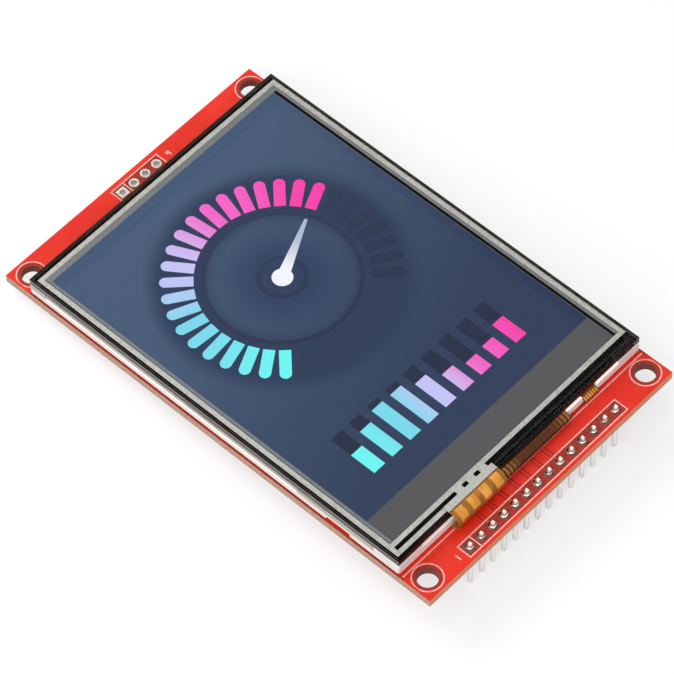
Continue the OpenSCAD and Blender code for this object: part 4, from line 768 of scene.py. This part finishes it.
# %% Tape and gasket
under_film = {"Coat_Weight": 1.0, "Coat_IOR": 1.25, "Coat_Roughness": 0.08, "Specular_IOR_Level": 0.0}
under_glass = {"Coat_Weight": 1.0, "Coat_IOR": 1.18, "Coat_Roughness": 0.08, "Specular_IOR_Level": 0.0}
black_tape = moulded("black_tape", linear(15, 13, 14), linear(20, 18, 19), 0.6, 0.3, 0.004, **under_film)
gasket = moulded("black_gasket", linear(24, 22, 22), linear(32, 29, 29), 0.7, 0.2, 0.002, **under_film)
dress(black_tape, "ledge_tape", "rim_tape")
grey_wall = moulded("gasket_inner_wall", linear(104, 106, 108), linear(120, 122, 124), 0.7, 0.2, 0.002)
ring = soften("touch_gasket", 0.02, gasket)
ring.data.materials.append(grey_wall)
for face in ring.data.polygons:
    looks_inward = face.normal.x * face.center.x + face.normal.y * face.center.y < 0
    if abs(face.normal.z) < 0.7 and looks_inward:
        face.material_index = 1

# %% [markdown]
# ## The picture
# The lit cell shows a plain instrument dial of separate bars, with a needle and a row of columns.
# Light comes out of it, so its colours go to the emission socket. One ramp gives the lit shapes
# their run from cyan through lilac to magenta: by angle round the dial, and from left to right
# along the columns.

# %% Picture colours
field_low, field_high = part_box("picture_field")
needle_low, needle_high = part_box("picture_needle")
dial_x, dial_y = 0.0, (field_low.y + field_high.y) / 2 + 7.0 * MM
dial_r = 16.0 * MM
columns_top = field_low.y + 14.5 * MM
columns_w = 36 * MM


def lit_material(name, colour_of, strength=1.0, roughness=0.35):
    """A part of the picture: dark when off, and shining with its own colour."""
    material, tree, shader = new_material(name, Roughness=roughness, **under_glass)
    shader.inputs["Base Color"].default_value = linear(8, 8, 10)
    shader.inputs["Emission Strength"].default_value = strength
    tree.links.new(colour_of(tree), shader.inputs["Emission Color"])
    return material


def from_dial(tree):
    """Distances to the dial's middle: along X, along Y, and straight."""
    spot = places(tree, shift=(-dial_x, -dial_y, 0))
    parts = add(tree, "ShaderNodeSeparateXYZ", {0: spot})
    across, up = parts.outputs[0], parts.outputs[1]
    flat = add(tree, "ShaderNodeCombineXYZ", {0: across, 1: up, 2: 0.0})
    far = add(tree, "ShaderNodeVectorMath", {0: flat.outputs[0]}, operation="LENGTH").outputs["Value"]
    return across, up, far


def field_colour(tree):
    across, up, far = from_dial(tree)
    slope = math_node(tree, "MULTIPLY_ADD", across, -0.35, up)
    base = between(tree, slope, linear(50, 63, 91), linear(74, 94, 122), -39 * MM, 27 * MM)
    rim = math_node(tree, "ABSOLUTE", math_node(tree, "SUBTRACT", far, dial_r))
    track = between(tree, rim, linear(48, 62, 91), base, 2.6 * MM, 6.5 * MM)
    glow = between(tree, far, linear(49, 65, 97), track, 2.0 * MM, 13.5 * MM)
    inside = math_node(tree, "LESS_THAN", far, dial_r - 3.0 * MM)
    return between(tree, inside, track, glow)


def lit_colour(tree):
    across, up = from_dial(tree)[:2]
    angle = math_node(tree, "ARCTAN2", up, across)
    from_start = math_node(tree, "SUBTRACT", math.radians(230), angle)
    turned = math_node(tree, "WRAP", from_start, 2 * math.pi, 0.0)
    round_share = math_node(tree, "DIVIDE", turned, math.radians(270) * 0.75)
    row_share = math_node(tree, "MULTIPLY_ADD", across, 1 / columns_w, 0.5)
    on_dial = math_node(tree, "GREATER_THAN", up, columns_top - dial_y)
    share = add(tree, "ShaderNodeMix", {"Factor": on_dial, 2: row_share, 3: round_share}, data_type="FLOAT")
    ramp = add(tree, "ShaderNodeValToRGB", {0: share.outputs[0]})
    stops = ((0.0, (104, 236, 232)), (0.30, (118, 206, 226)), (0.52, (190, 186, 236)), (0.74, (232, 96, 190)),
             (1.0, (236, 64, 162)))
    ramp.color_ramp.interpolation = "EASE"
    while len(ramp.color_ramp.elements) < len(stops):
        ramp.color_ramp.elements.new(0.5)
    for element, (at, colour) in zip(ramp.color_ramp.elements, stops):
        element.position = at
        element.color = linear(*colour)
    return ramp.outputs[0]


def dark_shape_colour(tree):
    up = from_dial(tree)[1]
    return between(tree, up, linear(40, 49, 72), linear(50, 61, 88), -30 * MM, 18 * MM)


def needle_colour(tree):
    far = from_dial(tree)[2]
    return between(tree, far, linear(236, 240, 246), linear(170, 182, 204), 0.6 * MM, 9.0 * MM)


def border_colour(tree):
    up = add(tree, "ShaderNodeSeparateXYZ", {0: places(tree)}).outputs["Y"]
    return between(tree, up, linear(90, 90, 93), linear(88, 88, 91), field_low.y, field_high.y)


dress(lit_material("picture_field_light", field_colour), "picture_field")
dress(lit_material("picture_lit_light", lit_colour, 1.15), "picture_cyan", "picture_lilac", "picture_magenta")
dress(lit_material("picture_dark_light", dark_shape_colour), "picture_unlit")
dress(lit_material("picture_needle_light", needle_colour, 1.1), "picture_needle")
dress(lit_material("cell_border_grey", border_colour), "cell_border")
print("dial centre in mm:", round(dial_x / MM, 2), round(dial_y / MM, 2))

# %% [markdown]
# ## Clear layers
# Glass and film show what lies under them. Each is an almost fully clear sheet over a dark base, so
# it adds no veil of its own. Only the top and the sides of a sheet are kept, which saves clear faces
# for the rays. Each sheet is also thinned by a few thousandths of a millimetre, so that none of its
# faces coincides with a neighbour's. The cut edges of the touch glass and its film look olive grey
# and get a finish of their own. The sides that face the pin header are black like the gasket.

# %% Glass finishes
def clear(name, colour, cover, roughness):
    """A clear sheet: it covers only a small share of what lies below, and its gloss wanders."""
    material, tree, shader = new_material(name, Base_Color=colour, Alpha=cover, Specular_IOR_Level=0.0)
    wander = noise(tree, 3.0)
    tree.links.new(level(tree, wander, roughness * 0.8, roughness * 1.25), shader.inputs["Roughness"])
    return material


hard_coat = clear("hard_coated_film", linear(30, 31, 32), 0.012, 0.1)
skin_gap = 0.003 * MM
still_glass = clear("inner_glass", linear(24, 30, 28), 0.006, 0.05)
glass_edge, tree, shader = new_material("ground_glass_edge", IOR=1.5, Roughness=0.3)
streaks = noise(tree, 0.5, 3.0, stretch=(0.4, 0.4, 3.0))
tone = between(tree, streaks, linear(64, 60, 54), linear(98, 92, 84), 0.35, 0.65)
tree.links.new(tone, shader.inputs["Base Color"])
rough_skin(tree, shader, streaks, 0.02)


def clear_block(node, width_mm, top, side):
    """A softened clear piece whose faces that look sideways have the second finish."""
    piece = soften(node, width_mm, top)
    low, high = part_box(node)
    for vertex in piece.data.vertices:
        vertex.co.z += skin_gap if vertex.co.z < (low.z + high.z) / 2 else -skin_gap
    work = bmesh.new()
    work.from_mesh(piece.data)
    lower = [face for face in work.faces if face.normal.z < -0.9]
    bmesh.ops.delete(work, geom=lower, context="FACES")
    work.to_mesh(piece.data)
    work.free()
    piece.data.materials.append(side)
    piece.data.materials.append(gasket)
    for face in piece.data.polygons:
        if abs(face.normal.z) < 0.9:
            face.material_index = 2 if face.normal.y < -0.6 else 1
    return piece


clear_block("touch_glass", 0.05, still_glass, glass_edge)
clear_block("touch_film", 0.03, hard_coat, glass_edge)
clear_block("filter_glass", 0.03, still_glass, still_glass)
spacer = clear("spacer_adhesive", linear(28, 28, 27), 0.01, 0.3)
polariser = clear("polariser_film", linear(20, 20, 24), 0.01, 0.2)
clear_block("touch_spacer", 0.01, spacer, spacer)
clear_block("front_polariser", 0.02, polariser, polariser)

# %% [markdown]
# The touch panel's electrodes are printed silver. Under the film the outer line looks warm and
# light, and the inner one, seen through adhesive, is greyer up to the light block at its end.

# %% Silver ink
silver_dark, silver_light = linear(160, 160, 155), linear(182, 181, 174)
silver = metal("silver_ink", silver_dark, silver_light, 0.42, 0.35, **under_film)
grey_silver, tree, shader = new_material("covered_silver", Metallic=1.0, Roughness=0.5, **under_film)
grain = noise(tree, 0.35)
inner = between(tree, grain, linear(100, 102, 104), linear(116, 118, 120), 0.3, 0.7)
block = between(tree, grain, silver_dark, silver_light, 0.3, 0.7)
up = add(tree, "ShaderNodeSeparateXYZ", {0: places(tree)}).outputs["Y"]
block_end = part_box("touch_silver_upper")[0].y + 1.5 * MM
tree.links.new(between(tree, up, block, inner, block_end, block_end + 0.1 * MM), shader.inputs["Base Color"])
rough_skin(tree, shader, grain, 0.004)
dress(silver, "touch_silver_lower")
dress(grey_silver, "touch_silver_upper")

# %% [markdown]
# ## The stage
# The module leans on its pin tips and on the far edge of the card socket, so the floor lies along
# those two lines. It is white to the eye and grey to the lamps, so it lends the module little light
# and keeps the shadow. One broad softbox stands to the left and a second one behind. A small bright
# lamp on the pin header's side puts sparks on the solder, and a pale sky fills in.

# %% Floor
socket_low, socket_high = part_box("card_socket_shell")
near, far = Vector((0, first_pin.y, pin_low.z)), Vector((0, socket_high.y, socket_low.z))
slope = math.atan2(far.z - near.z, far.y - near.y)
floor_mesh = bpy.data.meshes.new("floor")
reach = 4.0
corners = [(-reach, -reach, 0), (reach, -reach, 0), (reach, reach, 0), (-reach, reach, 0)]
floor_mesh.from_pydata(corners, [], [(0, 1, 2, 3)])
floor = bpy.data.objects.new("floor", floor_mesh)
bpy.context.scene.collection.objects.link(floor)
floor.location = near - Vector((0, 0, 0.02 * MM))
floor.rotation_euler = (slope, 0, 0)


def seen_directly(tree):
    """1 for rays from the camera, from a mirror or through glass, and 0 for light."""
    path = add(tree, "ShaderNodeLightPath")
    seen = math_node(tree, "MAXIMUM", path.outputs["Is Camera Ray"], path.outputs["Is Glossy Ray"])
    return math_node(tree, "MAXIMUM", seen, path.outputs["Is Transmission Ray"])


floor_shade, floor_glow = 0.34, 0.64
paper, tree, shader = new_material("white_paper_floor", Roughness=0.9)
shader.inputs["Base Color"].default_value = (floor_shade, floor_shade, floor_shade, 1)
shader.inputs["Specular IOR Level"].default_value = 0.0
shader.inputs["Emission Color"].default_value = (1, 1, 1, 1)
glow = math_node(tree, "MULTIPLY", seen_directly(tree), floor_glow)
tree.links.new(glow, shader.inputs["Emission Strength"])
floor_mesh.materials.append(paper)
print("floor slope in degrees:", round(math.degrees(slope), 2))

# %% Light
world = bpy.data.worlds.new("room")
bpy.context.scene.world = world
world.use_nodes = True
tree = world.node_tree
tree.nodes.clear()
lit = add(tree, "ShaderNodeBackground", {"Color": (1.0, 0.99, 0.98, 1), "Strength": 0.48})
shown = add(tree, "ShaderNodeBackground", {"Color": (1, 1, 1, 1), "Strength": 1.0})
both = add(tree, "ShaderNodeMixShader", {0: seen_directly(tree), 1: lit.outputs[0], 2: shown.outputs[0]})
add(tree, "ShaderNodeOutputWorld", {"Surface": both.outputs[0]})


def softbox(name, at_mm, size_mm, power):
    """A square lamp that looks at the module's middle."""
    lamp = bpy.data.lights.new(name, "AREA")
    lamp.shape = "SQUARE"
    lamp.size = size_mm * MM
    lamp.energy = power
    holder = bpy.data.objects.new(name, lamp)
    bpy.context.scene.collection.objects.link(holder)
    holder.location = Vector(at_mm) * MM
    holder.rotation_mode = "QUATERNION"
    holder.rotation_quaternion = (-holder.location).to_track_quat("-Z", "Y")
    return holder


softbox("key", (-520, -160, 480), 420, 2.35)
softbox("back", (-150, 420, 620), 400, 2.7)
softbox("sparkle", (-150, -420, 520), 60, 0.45)
